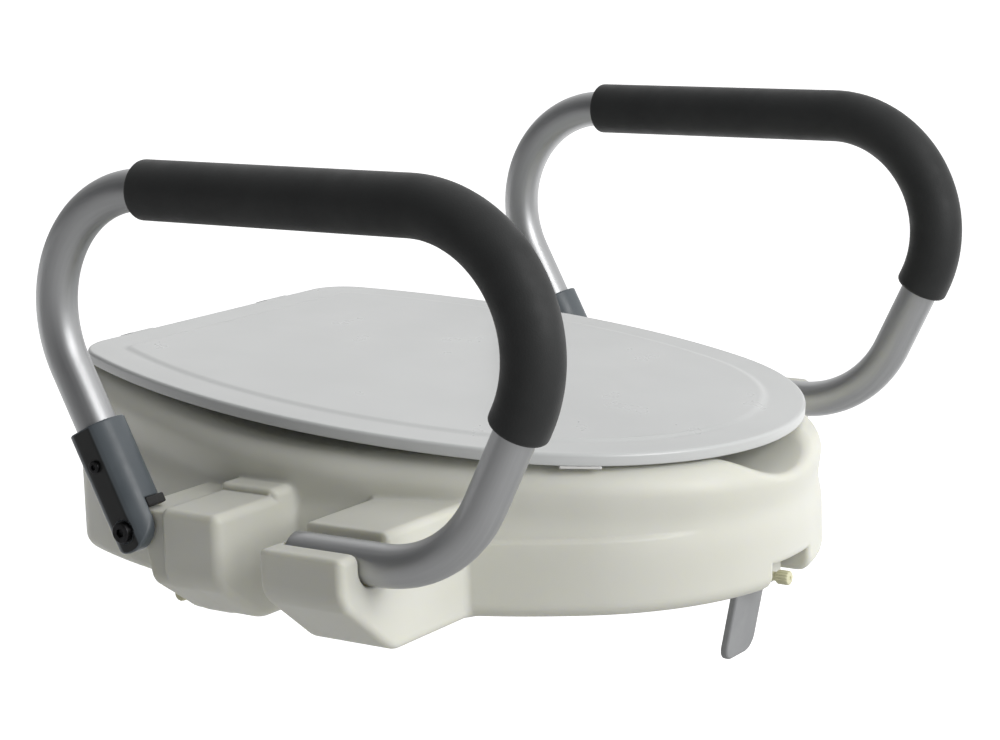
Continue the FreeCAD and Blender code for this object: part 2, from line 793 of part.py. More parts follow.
def make_bumpers():
    """Four soft bumpers under the lid's band, turned to follow its edge, which rest on the deck."""
    half_width, half_length = size("bumper_width") / 2.0, size("bumper_length") / 2.0
    pads = []
    for end in ("front", "rear"):
        turn = size(f"bumper_{end}_turn")
        across = (cosine(turn), sine(turn))
        along = (-sine(turn), cosine(turn))
        corners = []
        for step_x, step_y in ((-1.0, -1.0), (1.0, -1.0), (1.0, 1.0), (-1.0, 1.0)):
            x, y = step_x * half_width, step_y * half_length
            corners.append((size(f"bumper_{end}_x") + x * across[0] + y * along[0],
                            size(f"bumper_{end}_y") + x * across[1] + y * along[1]))
        for side, label in ((1.0, "left"), (-1.0, "right")):
            body = new_body(f"Bumper_{end}_{label}")
            sketch = new_sketch(body, "XY_Plane", f"BumperOutline_{end}_{label}", -size("bumper_thickness"))
            draw(sketch, [(side * x, y) for x, y in corners])
            pad(body, sketch, size("bumper_thickness"))
            lid_frame(body)
            pads.append(body)
    result = doc.addObject("Part::Compound", "LidBumpers")
    result.Links = pads
    node(result, "lid_bumpers")


def make_hinges():
    """For each side: a block with two ears in the seat's recess, and a pin through the lid's lug."""
    width = size("hinge_lug_width") + 2.0 * size("hinge_ear")
    floor = -size("hinge_seat_depth")
    y, z = size("hinge_y"), -size("hinge_drop")
    radius = size("hinge_lug_radius")
    for side, label in ((1.0, "left"), (-1.0, "right")):
        body = new_body("HingeBlock_" + label)
        sketch = new_sketch(body, "YZ_Plane", "HingeSide_" + label, side * size("hinge_x") - width / 2.0)
        front = size("hinge_block_front_y")
        base_top = floor + size("hinge_base")
        points = [(front, floor), (y + radius, floor), (y + radius, z), (y, z + radius), (y - radius, z)]
        points += [(y - radius - size("hinge_web"), base_top), (front, base_top)]
        draw(sketch, points, {2: (radius, 1), 3: (radius, 1)})
        pad(body, sketch, width)
        room = size("hinge_lug_width") + 2.0 * size("hinge_side_gap")
        sketch = new_sketch(body, "YZ_Plane", "HingeGap_" + label, side * size("hinge_x") + room / 2.0)
        draw_box(sketch, front - PAST, y + radius + PAST, base_top, z + radius + PAST)
        pocket(body, sketch, room)
        sketch = new_sketch(body, "YZ_Plane", "HingeBore_" + label)
        draw_circle(sketch, y, z, size("hinge_pin_radius") + GAP)
        pocket(body, sketch, 2.0 * FAR, midplane=True)
        sketch = new_sketch(body, "XY_Plane", "HingeHoles_" + label, floor)
        for step in (-0.5, 0.5):
            draw_circle(sketch, side * size("hinge_x") + step * size("hinge_screw_spacing"),
                        size("hinge_screw_y"), size("hinge_screw_radius"))
        pocket(body, sketch, size("hinge_base") + PAST, reversed_way=True)
        lid_frame(body)
        node(body, "hinge_block_" + label)

        pin = cylinder("HingePin_" + label, size("hinge_pin_radius"), width)
        holder = doc.addObject("Part::Compound", "HingePinSet_" + label)
        place(pin, side * size("hinge_x") - width / 2.0, y, z, *TURNS["x"])
        holder.Links = [pin]
        lid_frame(holder)
        node(holder, "hinge_pin_" + label)

    screws = []
    for number, x in enumerate(hinge_screw_places(), start=1):
        shank = cylinder(f"HingeShank{number}", size("hinge_screw_radius"), size("hinge_screw_length"),
                         x, size("hinge_screw_y"), floor + size("hinge_base") - size("hinge_screw_length"))
        head = cylinder(f"HingeHead{number}", size("hinge_head_radius"), size("hinge_head_height"),
                        x, size("hinge_screw_y"), floor + size("hinge_base"))
        screws.append(join(f"HingeScrew{number}", [shank, head]))
    holder = doc.addObject("Part::Compound", "HingeScrews")
    holder.Links = screws
    lid_frame(holder)
    node(holder, "hinge_screws")


# ---------------------------------------------------------------- armrests
def arm_route():
    """Points of the tube's centre line from the slot to the knuckle, with its bends."""
    lean, back = size("front_lean"), 180.0 - size("rear_lean")
    low, up, rear = size("front_lower_radius"), size("front_upper_radius"), size("rear_radius")
    foot_y, slot_z, grip_z = size("front_foot_y"), size("slot_z"), size("grip_z")
    low_end = (foot_y - low * sine(lean), slot_z + low * (1.0 - cosine(lean)))
    rest = grip_z - low_end[1] - up * (1.0 + cosine(lean))
    straight = rest / sine(lean)
    up_start = (low_end[0] - straight * cosine(lean), low_end[1] + rest)
    grip_front = (up_start[0] + up * sine(lean), grip_z)
    seat = size("tube_seat")
    rear_drop = rear * (1.0 - cosine(back))
    length = (grip_z - rear_drop - PIVOT_Z) / sine(size("rear_lean"))
    bend_end = (PIVOT_Y + length * cosine(size("rear_lean")), grip_z - rear_drop)
    grip_rear = (bend_end[0] - rear * sine(back), grip_z)
    tube_foot = (PIVOT_Y + seat * cosine(size("rear_lean")), PIVOT_Z + seat * sine(size("rear_lean")))
    points = [(size("tube_end_y"), slot_z), (foot_y, slot_z), low_end, up_start, grip_front, grip_rear]
    points += [bend_end, tube_foot]
    bends = {1: (low, -1), 3: (up, -1), 5: (rear, -1)}
    return points, bends


def ring_on_route(body, name, role, offset, z, outer, inner):
    sketch = new_sketch(body, role, name, offset)
    draw_circle(sketch, 0.0, z, outer)
    draw_circle(sketch, 0.0, z, inner)
    return sketch


def make_arm(side, label):
    """One armrest: bent tube, foam grip, end plug, knuckle, screw and stop."""
    points, bends = arm_route()
    arm_x = side * ARM_X

    body = new_body("ArmTube_" + label)
    path = new_sketch(body, "YZ_Plane", "ArmPath_" + label)
    draw(path, points, bends, closed=False)
    section = ring_on_route(body, "ArmSection_" + label, "XZ_Plane", -size("tube_end_y"), size("slot_z"),
                            TUBE, TUBE - size("tube_wall"))
    pipe(body, section, path)
    sketch = new_sketch(body, "YZ_Plane", "ArmScrewHole_" + label)
    at = size("knuckle_screw_at")
    draw_circle(sketch, PIVOT_Y + at * cosine(size("rear_lean")), PIVOT_Z + at * sine(size("rear_lean")),
                size("knuckle_screw_radius"))
    pocket(body, sketch, TUBE + PAST, reversed_way=side > 0)
    place(body, arm_x)
    node(body, "arm_tube_" + label)

    body = new_body("FoamGrip_" + label)
    path = new_sketch(body, "YZ_Plane", "FoamPath_" + label)
    lean = size("front_lean")
    drop = size("foam_drop")
    foam_end = (points[3][0] + drop * cosine(lean), points[3][1] - drop * sine(lean))
    route = [(size("foam_rear_y"), size("grip_z")), points[4], points[3], foam_end]
    draw(path, route, {1: (size("front_upper_radius"), 1)}, closed=False)
    section = ring_on_route(body, "FoamSection_" + label, "XZ_Plane", -size("foam_rear_y"), size("grip_z"),
                            size("foam_radius"), TUBE + GAP)
    pipe(body, section, path)
    place(body, arm_x)
    node(body, "foam_grip_" + label)

    plug = cylinder("PlugStem_" + label, TUBE - size("tube_wall"), size("plug_length"),
                    arm_x, size("tube_end_y") - size("plug_length"), size("slot_z"), "y")
    node(plug, "tube_plug_" + label)
    make_knuckle(side, label)


def make_knuckle(side, label):
    """Clamp sleeve on the tube's foot with one flat cheek outside, which the pivot bolt holds."""
    radius, flat, inner = size("knuckle_radius"), size("knuckle_flat"), size("cheek_inner")
    bottom, top, tail = size("sleeve_bottom"), size("sleeve_top"), size("cheek_end")
    barrel = cylinder("Barrel_" + label, radius, top + tail, 0.0, 0.0, -tail)
    low_x = -radius if side > 0 else -flat
    trim = box("Flat_" + label, low_x, -radius, -tail, radius + flat, 2.0 * radius, top + tail)
    rounding = cylinder("Round_" + label, radius, 4.0 * radius, -2.0 * radius, 0.0, radius - tail, "x")
    upper = box("Upper_" + label, -2.0 * radius, -radius, radius - tail, 4.0 * radius, 2.0 * radius,
                top + tail - radius)
    outline = join("Outline_" + label, [rounding, upper])
    solid = common("KnuckleSolid_" + label, [barrel, trim, outline])
    room_x = inner - 2.0 * radius if side > 0 else -inner
    room = box("LugRoom_" + label, room_x, -radius - PAST, -tail - PAST, 2.0 * radius,
               2.0 * (radius + PAST), bottom + tail + PAST)
    bore = cylinder("TubeBore_" + label, TUBE + GAP, top, 0.0, 0.0, bottom - PAST)
    eye = cylinder("PivotEye_" + label, size("bolt_radius") + GAP, 4.0 * radius, -2.0 * radius, 0.0, 0.0, "x")
    screw_hole = cylinder("ScrewHole_" + label, size("knuckle_screw_radius"), 2.0 * radius, 0.0, 0.0,
                          size("knuckle_screw_at"), "x" if side > 0 else "-x")
    tools = join("KnuckleTools_" + label, [room, bore, eye, screw_hole])
    lean_frame(node(cut("Knuckle_" + label, solid, tools), "knuckle_" + label), side)

    way = "x" if side > 0 else "-x"
    shank_start = TUBE - size("tube_wall") - size("knuckle_screw_bite")
    shank = cylinder("FixShank_" + label, size("knuckle_screw_radius"), flat - shank_start,
                     side * shank_start, 0.0, size("knuckle_screw_at"), way)
    head = cylinder("FixHead_" + label, size("knuckle_screw_head"), size("knuckle_screw_head_height"),
                    side * flat, 0.0, size("knuckle_screw_at"), way)
    lean_frame(node(join("KnuckleScrew_" + label, [shank, head]), "knuckle_screw_" + label), side)

    stop_end = inner - size("stop_gap")
    stop_low = -size("stop_inner") if side > 0 else -stop_end
    stop = box("StopBlock_" + label, stop_low, -size("stop_front"), size("stop_bottom"),
               size("stop_inner") + stop_end, size("stop_front") - size("stop_rear"),
               bottom - size("stop_bottom"))
    holder = doc.addObject("Part::Compound", "StopSet_" + label)
    holder.Links = [stop]
    lean_frame(node(holder, "stop_block_" + label), side)


def lean_frame(item, side):
    """Places an object given in the frame of the armrest's foot, which leans with the tube."""
    place(item, side * ARM_X, PIVOT_Y, PIVOT_Z, Vector(1, 0, 0), -REAR_TILT)


def make_pivot(side, label):
    """Bolt through the cheek into the lug, with a washer between them and a captive nut."""
    way = "x" if side > 0 else "-x"
    face = ARM_X + size("knuckle_flat")
    shank = cylinder("BoltShank_" + label, size("bolt_radius"), size("bolt_length"),
                     side * (face - size("bolt_length")), PIVOT_Y, PIVOT_Z, way)
    head_x = face + size("bolt_head_gap")
    head = cylinder("BoltHead_" + label, size("bolt_head_radius"), size("bolt_head_height"),
                    side * head_x, PIVOT_Y, PIVOT_Z, way)
    neck = cylinder("BoltNeck_" + label, size("bolt_radius"), size("bolt_head_height"),
                    side * (face - PAST), PIVOT_Y, PIVOT_Z, way)
    socket_x = head_x + size("bolt_head_height") - size("bolt_socket_depth")
    socket = cylinder("BoltSocket_" + label, size("bolt_socket_radius"), size("bolt_head_height"),
                      side * socket_x, PIVOT_Y, PIVOT_Z, way)
    bolt = cut("PivotBolt_" + label, join("BoltBlank_" + label, [shank, neck, head]), socket)
    node(bolt, "pivot_bolt_" + label)

    washer_x = size("lug_x") + size("washer_gap")
    disc = cylinder("WasherDisc_" + label, size("washer_radius"), size("washer_thickness"),
                    side * washer_x, PIVOT_Y, PIVOT_Z, way)
    hole = cylinder("WasherHole_" + label, size("bolt_radius") + GAP, size("washer_thickness") + 2.0 * PAST,
                    side * (washer_x - PAST), PIVOT_Y, PIVOT_Z, way)
    node(cut("PivotWasher_" + label, disc, hole), "pivot_washer_" + label)

    nut_x = size("lug_x") - size("nut_setback")
    blank = doc.addObject("Part::Prism", "NutBlank_" + label)
    blank.Polygon = 6
    bind(blank, "Circumradius", size("nut_half_width") * HEXAGON_CORNER)
    bind(blank, "Height", size("nut_thickness"))
    place(blank, side * nut_x, PIVOT_Y, PIVOT_Z, *TURNS[way])
    thread = cylinder("NutThread_" + label, size("bolt_radius"), size("nut_thickness") + 2.0 * PAST,
                      side * (nut_x - PAST), PIVOT_Y, PIVOT_Z, way)
    node(cut("PivotNut_" + label, blank, thread), "pivot_nut_" + label)


# ---------------------------------------------------------------- rim clamps
def clamp_seat(item, x, y, z, turn):
    """Places an object drawn with +Y outwards from the seat and the screw along Y."""
    place(item, x, y, z, Vector(0, 0, 1), turn)
    return item


def make_bearing(label, z):
    """Plate that hangs from a notch's roof and holds a clamp screw."""
    radius = size("clamp_screw_radius")
    top = size("notch_z") - z
    plate = box("BearingPlate_" + label, -size("bearing_width") / 2.0, size("bearing_at"),
                -size("bearing_drop"), size("bearing_width"), size("bearing_thickness"),
                top + size("bearing_drop"))
    hole = cylinder("BearingHole_" + label, radius + GAP, size("bearing_thickness") + 2.0 * PAST,
                    0.0, size("bearing_at") - PAST, 0.0, "y")
    return cut("Bearing_" + label, plate, hole)


def make_screw(label, start, collar_at=None):
    """Nylon screw along Y with a round knob at its outer end."""
    radius = size("clamp_screw_radius")
    knob_y = size("clamp_reach") - size("clamp_knob_length")
    solids = [
        cylinder("ClampShank_" + label, radius, knob_y - start, 0.0, start, 0.0, "y"),
        cylinder("ClampKnob_" + label, size("clamp_knob_radius"), size("clamp_knob_length"),
                 0.0, knob_y, 0.0, "y"),
    ]
    if collar_at is not None:
        solids.append(cylinder("ClampCollar_" + label, size("clamp_knob_radius"), size("clamp_collar"),
                               0.0, collar_at, 0.0, "y"))
    return join("ClampScrew_" + label, solids)


def make_front_clamp():
    """Hanging bracket inside the front of the bowl, drawn outwards by a captive screw."""
    half, thick = size("bracket_width") / 2.0, size("bracket_thickness")
    drop, rise = size("bracket_drop"), size("bracket_rise")
    place_of = (0.0, -size("clamp_front_y"), size("clamp_front_z"), 180.0)

    body = new_body("RimBracket")
    sketch = new_sketch(body, "YZ_Plane", "BracketSide")
    foot = -drop * sine(size("bracket_lean")) / cosine(size("bracket_lean"))
    points = [(foot, -drop), (0.0, -rise), (0.0, rise), (-thick, rise), (-thick, -rise)]
    draw(sketch, points + [(foot - thick, -drop)])
    pad(body, sketch, size("bracket_width"), midplane=True)

    def foot_corner(edge):
        ends = [v.Point for v in edge.Vertexes]
        low = all(abs(p.z + drop.value) < TOUCH for p in ends)
        return low and abs(ends[0].x - ends[1].x) < TOUCH and abs(abs(ends[0].x) - half.value) < TOUCH

    fillet(body, thick * 2.0, foot_corner)
    sketch = new_sketch(body, "YZ_Plane", "Boss")
    draw_box(sketch, -size("boss_depth"), -thick, -size("boss_width") / 2.0, rise)
    pad(body, sketch, size("boss_width"), midplane=True)
    sketch = new_sketch(body, "XZ_Plane", "BossBore", size("boss_depth") + PAST)
    draw_circle(sketch, 0.0, 0.0, size("clamp_screw_radius") + GAP)
    pocket(body, sketch, size("boss_depth") + 2.0 * PAST)
    clamp_seat(node(body, "rim_bracket"), *place_of)

    collar_at = size("bearing_at") - size("clamp_collar") - size("clamp_play")
    screw = make_screw("front", -size("boss_depth") - size("clamp_tail"), collar_at)
    clamp_seat(node(screw, "rim_screw"), *place_of)
    clamp_seat(node(make_bearing("front", size("clamp_front_z")), "rim_bearing"), *place_of)


def make_side_clamp(side, label):
    """Screw through a threaded plate, with a rubber foot that presses on the bowl's side."""
    place_of = (side * size("clamp_side_x"), size("clamp_side_y"), size("clamp_side_z"), -90.0 * side)
    tip = -size("foot_length") / 2.0
    screw = make_screw(label, tip)
    clamp_seat(node(screw, "side_screw_" + label), *place_of)
    clamp_seat(node(make_bearing(label, size("clamp_side_z")), "side_bearing_" + label), *place_of)

    foot = cylinder("FootBlank_" + label, size("foot_radius"), size("foot_length"),
                    0.0, -size("foot_length"), 0.0, "y")
    socket = cylinder("FootSocket_" + label, size("clamp_screw_radius") + GAP, size("foot_length"),
                      0.0, tip - GAP, 0.0, "y")
    clamp_seat(node(cut("SideFoot_" + label, foot, socket), "side_foot_" + label), *place_of)


# ---------------------------------------------------------------- build and export
make_shell()
make_pads()
make_lid()
make_bumpers()
make_hinges()
for arm_side, arm_label in ((1.0, "left"), (-1.0, "right")):
    make_arm(arm_side, arm_label)
    make_pivot(arm_side, arm_label)
    make_side_clamp(arm_side, arm_label)
make_front_clamp()
doc.recompute()

for item in doc.Objects:
    if "Invalid" in item.State or "Error" in item.State:
        raise ValueError(f"{item.Name} failed: {item.State}")
for item in NODES:
    if item.Shape.isNull() or not item.Shape.isValid():
        raise ValueError(f"{item.Label} has no valid shape")

os.makedirs("parts", exist_ok=True)
for item in NODES:
    item.Shape.exportStep(f"parts/{item.Label}.step")
    print(f"{item.Label}: {item.Shape.Volume / 1000.0:.1f} cm3, {len(item.Shape.Solids)} solid(s)")
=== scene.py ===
"""Looks for the raised toilet seat: moulded shell, lid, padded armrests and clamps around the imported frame."""
import json
import math

import bpy
import numpy as np
from mathutils import Matrix, Vector


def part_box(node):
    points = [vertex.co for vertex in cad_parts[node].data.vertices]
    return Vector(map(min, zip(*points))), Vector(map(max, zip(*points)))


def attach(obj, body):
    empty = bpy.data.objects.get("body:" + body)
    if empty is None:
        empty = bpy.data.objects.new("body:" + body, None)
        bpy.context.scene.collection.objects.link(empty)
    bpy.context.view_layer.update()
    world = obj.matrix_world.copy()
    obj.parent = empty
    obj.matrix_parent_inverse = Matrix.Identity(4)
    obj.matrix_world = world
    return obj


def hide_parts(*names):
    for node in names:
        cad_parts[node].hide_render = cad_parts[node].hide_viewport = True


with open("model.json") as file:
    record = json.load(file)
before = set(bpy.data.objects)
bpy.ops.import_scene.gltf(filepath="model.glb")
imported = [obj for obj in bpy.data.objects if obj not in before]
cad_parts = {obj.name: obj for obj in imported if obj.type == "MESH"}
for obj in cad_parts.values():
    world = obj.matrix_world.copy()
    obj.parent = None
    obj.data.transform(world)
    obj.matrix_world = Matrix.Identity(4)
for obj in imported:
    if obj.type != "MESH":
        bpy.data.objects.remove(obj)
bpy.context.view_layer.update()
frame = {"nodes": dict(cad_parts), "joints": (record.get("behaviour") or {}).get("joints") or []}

# Shapes are worked out in millimetres in the row frame: +X user's left, -Y front, +Z up.
MM = 0.001
SIDES = (("left", 1.0), ("right", -1.0))


def node_box(node):
    """Lowest and highest corner of a CAD node at rest, in millimetres."""
    low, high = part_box(node)
    return np.array(low) / MM, np.array(high) / MM


def joint_place(name):
    joint = [j for j in frame["joints"] if j["name"] == name][0]
    return np.array(joint["pos_m"]) / MM


# ---------------------------------------------------------------- sizes
tube_low, tube_high = node_box("arm_tube_left")
foam_low, foam_high = node_box("foam_grip_left")
shell_low, shell_high = node_box("seat_shell")
ARM_X = (tube_low[0] + tube_high[0]) / 2.0
TUBE = (tube_high[0] - tube_low[0]) / 2.0
FOAM = (foam_high[0] - foam_low[0]) / 2.0
PIVOT = joint_place("armrest_left_hinge")
GRIP_Z = tube_high[2] - TUBE
SLOT_Z = tube_low[2] + TUBE
FOAM_REAR_Y = foam_high[1]

SLOPE = math.radians(5.25)
LID_REST = 107.4
DECK_GAP = 2.2
SEAT = dict(half=192.0, widest=48.5, side=348.7, front=157.6, haunch=450.0, rear=259.0, corner=45.0)
OPENING = dict(half=104.0, widest=20.0, side=200.0, front=85.0, haunch=200.0, rear=150.0, corner=70.0)
LID = dict(half=186.9, widest=47.0, side=402.0, front=172.5, haunch=450.0, rear=249.0, corner=38.0)
LID_EDGE = 8.4
LID_SKIN = 3.0
LID_BAND = 32.0
LID_PANEL = 33.0
TUBE_END_Y = -28.0
FRONT_FOOT_Y = -90.7
FRONT_LEAN = 63.0
REAR_LEAN = 62.5
FRONT_LOWER_BEND, FRONT_UPPER_BEND, REAR_BEND = 80.9, 78.3, 76.2
TUBE_WALL = 1.6
TUBE_SEAT = 16.0
FOAM_PAST_BEND = 7.0


# ---------------------------------------------------------------- distance fields
def fade(value, start, end):
    """0 before start, 1 after end and smooth between them."""
    share = np.clip((value - start) / (end - start), 0.0, 1.0)
    return share * share * (3.0 - 2.0 * share)


def both(a, b, radius=0.0):
    """What two shapes share, with the edge between them rounded."""
    if radius == 0.0:
        return np.maximum(a, b)
    rounded = np.hypot(np.maximum(a + radius, 0.0), np.maximum(b + radius, 0.0))
    return np.minimum(np.maximum(a, b), -radius) + rounded


def either(a, b, radius=0.0):
    """Two shapes joined, with a fillet where they meet."""
    if radius == 0.0:
        return np.minimum(a, b)
    filled = np.hypot(np.maximum(radius - a, 0.0), np.maximum(radius - b, 0.0))
    return np.maximum(np.minimum(a, b), radius) - filled


def without(a, b, radius=0.0):
    return both(a, -b, radius)


def rounded_box(x, y, z, half, radius):
    qx, qy, qz = np.abs(x) - half[0] + radius, np.abs(y) - half[1] + radius, np.abs(z) - half[2] + radius
    outside = np.sqrt(np.maximum(qx, 0.0) ** 2 + np.maximum(qy, 0.0) ** 2 + np.maximum(qz, 0.0) ** 2)
    return outside + np.minimum(np.maximum(qx, np.maximum(qy, qz)), 0.0) - radius


class Egg:
    """A closed outline of tangent arcs: front, sides, haunches and corners, with a straight rear edge."""

    def __init__(self, half, widest, side, front, haunch, rear, corner):
        self.side, self.front, self.haunch, self.corner, self.rear = side, front, haunch, corner, rear
        self.side_at = (half - side, widest)
        self.haunch_at = (half - haunch, widest)
        fall = math.sqrt((side - front) ** 2 - self.side_at[0] ** 2)
        self.front_at = (0.0, widest - fall)
        rise = rear - corner - widest
        reach = math.sqrt((haunch - corner) ** 2 - rise ** 2)
        self.corner_at = (self.haunch_at[0] + reach, rear - corner)
        self.front_way = (-self.side_at[0] / (side - front), -fall / (side - front))
        self.corner_way = (reach / (haunch - corner), rise / (haunch - corner))

    def distance(self, x, y):
        x = np.abs(x)
        side = np.hypot(x - self.side_at[0], y - self.side_at[1]) - self.side
        haunch = np.hypot(x - self.haunch_at[0], y - self.haunch_at[1]) - self.haunch
        side = np.where(y < self.side_at[1], side, haunch)
        front = np.hypot(x, y - self.front_at[1]) - self.front
        corner = np.hypot(x - self.corner_at[0], y - self.corner_at[1]) - self.corner
        by_front = self.front_way[0] * (y - self.front_at[1]) - self.front_way[1] * x < 0.0
        turned = self.corner_way[0] * (y - self.corner_at[1]) - self.corner_way[1] * (x - self.corner_at[0])
        by_corner = (turned > 0.0) & (x > self.corner_at[0])
        middle = x <= self.corner_at[0]
        result = np.where(middle, np.maximum(side, y - self.rear), side)
        return np.where(by_front, front, np.where(by_corner, corner, result))

    def ring(self, inset, per_arc):
        """Points anticlockwise from the middle of the front, moved inwards by inset."""
        front_end = math.atan2(self.front_way[1], self.front_way[0])
        corner_start = math.atan2(self.corner_way[1], self.corner_way[0])
        arcs = [(self.front_at, self.front, -math.pi / 2.0, front_end)]
        arcs.append((self.side_at, self.side, front_end, 0.0))
        arcs.append((self.haunch_at, self.haunch, 0.0, corner_start))
        arcs.append((self.corner_at, self.corner, corner_start, math.pi / 2.0))
        half = []
        for centre, radius, start, end in arcs:
            for turn in np.linspace(start, end, per_arc, endpoint=False):
                half.append((centre[0] + (radius - inset) * math.cos(turn),
                             centre[1] + (radius - inset) * math.sin(turn)))
        rear = self.rear - inset
        across = np.linspace(self.corner_at[0], 0.0, per_arc // 2, endpoint=False)
        half += [(x, rear) for x in across]
        half = np.array(half)
        back = half[1:][::-1] * (-1.0, 1.0)
        return np.vstack([half, [(0.0, rear)], back])


def skin(distance, low, high, step):
    """Corner points and four-sided faces of the surface where distance is 0."""
    axes = [np.arange(a - 1.5 * step, b + 2.5 * step, step, dtype=np.float32) for a, b in zip(low, high)]
    x, y, z = np.meshgrid(*axes, indexing="ij")
    value = distance(x, y, z).astype(np.float32)
    inside = value < 0.0
    cells = tuple(n - 1 for n in value.shape)

    def corner(field, shift):
        return field[tuple(slice(s, s + n) for s, n in zip(shift, cells))]

    shifts = [(i, j, k) for i in (0, 1) for j in (0, 1) for k in (0, 1)]
    count = sum(corner(inside, s).astype(np.int8) for s in shifts)
    active = (count > 0) & (count < 8)
    number = np.full(cells, -1, np.int64)
    number[active] = np.arange(active.sum())
    where = np.argwhere(active)
    total = np.zeros((len(where), 3))
    hits = np.zeros(len(where))
    for first in shifts:
        for axis in range(3):
            if first[axis]:
                continue
            second = tuple(1 if a == axis else s for a, s in enumerate(first))
            va = corner(value, first)[active]
            vb = corner(value, second)[active]
            crossing = (va < 0.0) != (vb < 0.0)
            share = np.where(crossing, va / np.where(crossing, va - vb, 1.0), 0.0)
            point = np.tile(np.array(first, float), (len(where), 1))
            point[:, axis] += share
            total += point * crossing[:, None]
            hits += crossing
    origin = np.array([a[0] for a in axes], float)
    points = origin + (where + total / hits[:, None]) * step

    faces = []
    for axis in range(3):
        u, v = (axis + 1) % 3, (axis + 2) % 3
        size = [n - 1 for n in value.shape]
        size[u] -= 1
        size[v] -= 1

        def cut(field, du, dv, da, extent=size):
            start = [0, 0, 0]
            start[u], start[v], start[axis] = du, dv, da
            return field[tuple(slice(s, s + n) for s, n in zip(start, extent))]

        near, far = cut(inside, 1, 1, 0), cut(inside, 1, 1, 1)
        quads = [cut(number, du, dv, 0) for du, dv in ((0, 0), (1, 0), (1, 1), (0, 1))]
        for mask, order in ((near & ~far, (0, 1, 2, 3)), (~near & far, (3, 2, 1, 0))):
            faces.append(np.stack([quads[n][mask] for n in order], axis=1))
    faces = np.vstack(faces)

    def slope_at(p, gap=0.05):
        here = distance(*p.T)
        rise = [(distance(*(p + gap * np.eye(3)[a]).T) - distance(*(p - gap * np.eye(3)[a]).T)) / (2.0 * gap)
                for a in range(3)]
        return here, np.stack(rise, axis=1)

    for _ in range(3):
        here, rise = slope_at(points)
        length = np.maximum((rise ** 2).sum(1), 0.25)
        move = np.clip(here / length, -0.4 * step, 0.4 * step)
        points = points - rise * move[:, None]
    _, rise = slope_at(points)
    normals = rise / np.maximum(np.linalg.norm(rise, axis=1), 1e-6)[:, None]
    return points, faces, normals


# ---------------------------------------------------------------- meshes
def make_piece(name, points, faces, material, body, normals=None, sharp=None):
    """A mesh from points in millimetres, which rides on a body and takes the material it is given."""
    mesh = bpy.data.meshes.new(name)
    if isinstance(faces, np.ndarray):
        mesh.vertices.add(len(points))
        mesh.vertices.foreach_set("co", (np.asarray(points) * MM).astype(np.float32).ravel())
        mesh.loops.add(faces.size)
        mesh.loops.foreach_set("vertex_index", faces.astype(np.int32).ravel())
        mesh.polygons.add(len(faces))
        mesh.polygons.foreach_set("loop_start", np.arange(0, faces.size, faces.shape[1], dtype=np.int32))
        mesh.update(calc_edges=True)
    else:
        mesh.from_pydata((np.asarray(points) * MM).tolist(), [], faces)
    mesh.validate()
    mesh.polygons.foreach_set("use_smooth", np.ones(len(mesh.polygons), bool))
    if sharp is not None:
        mesh.set_sharp_from_angle(angle=math.radians(sharp))
    if normals is not None:
        mesh.normals_split_custom_set_from_vertices(normals.tolist())
    mesh.materials.append(material)
    piece = bpy.data.objects.new(name, mesh)
    bpy.context.scene.collection.objects.link(piece)
    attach(piece, body)
    return piece


def loops_to_faces(rings, around, first_cap=None, last_cap=None):
    """Faces between rings of equal length, with optional fans to a point at either end."""
    faces = []
    for r in range(rings - 1):
        for a in range(around):
            b = (a + 1) % around
            faces.append((r * around + a, r * around + b, (r + 1) * around + b, (r + 1) * around + a))
    if first_cap is not None:
        faces += [((a + 1) % around, a, first_cap) for a in range(around)]
    if last_cap is not None:
        base = (rings - 1) * around
        faces += [(base + a, base + (a + 1) % around, last_cap) for a in range(around)]
    return faces


def turned(profile, around=48, capped=True):
    """A turned shape along +Z from (radius, height) pairs; a radius may be a function of the angle."""
    angles = np.linspace(0.0, 2.0 * math.pi, around, endpoint=False)
    points = []
    for radius, height in profile:
        for turn in angles:
            r = radius(turn) if callable(radius) else radius
            points.append((r * math.cos(turn), r * math.sin(turn), height))
    first = last = None
    if capped:
        first = len(points)
        points.append((0.0, 0.0, profile[0][1]))
        last = len(points)
        points.append((0.0, 0.0, profile[-1][1]))
    return np.array(points), loops_to_faces(len(profile), around, first, last)


def aimed(points, axis, origin, roll=0.0):
    """Turns points drawn along +Z to point along axis, and moves them to origin."""
    way = Vector(axis).to_track_quat("Z", "Y").to_matrix() @ Matrix.Rotation(roll, 3, "Z")
    return np.asarray(points) @ np.array(way).T + np.asarray(origin, float)


def hexagon(across, lean=0.0):
    """Radius of a hexagon, across its flats, as a function of the angle."""
    sixth = math.pi / 3.0

    def radius(turn):
        return across / 2.0 / math.cos((turn + lean) % sixth - sixth / 2.0)

    return radius


# ---------------------------------------------------------------- materials
def new_material(name, roughness, **sockets):
    material = bpy.data.materials.new(name)
    material.use_nodes = True
    tree = material.node_tree
    shader = tree.nodes["Principled BSDF"]
    shader.inputs["Roughness"].default_value = roughness
    for socket, value in sockets.items():
        shader.inputs[socket.replace("_", " ")].default_value = value
    return material, tree, shader


def coordinates(tree, stretch=(1.0, 1.0, 1.0)):
    """Object coordinates, which stay with the surface when it moves."""
    source = tree.nodes.new("ShaderNodeTexCoord")
    mapping = tree.nodes.new("ShaderNodeMapping")
    mapping.inputs["Scale"].default_value = stretch
    tree.links.new(source.outputs["Object"], mapping.inputs["Vector"])
    return mapping.outputs["Vector"]


def noise(tree, where, scale, detail=4.0, roughness=0.55):
    node = tree.nodes.new("ShaderNodeTexNoise")
    node.inputs["Scale"].default_value = scale
    node.inputs["Detail"].default_value = detail
    node.inputs["Roughness"].default_value = roughness
    tree.links.new(where, node.inputs["Vector"])
    return node.outputs["Fac"]


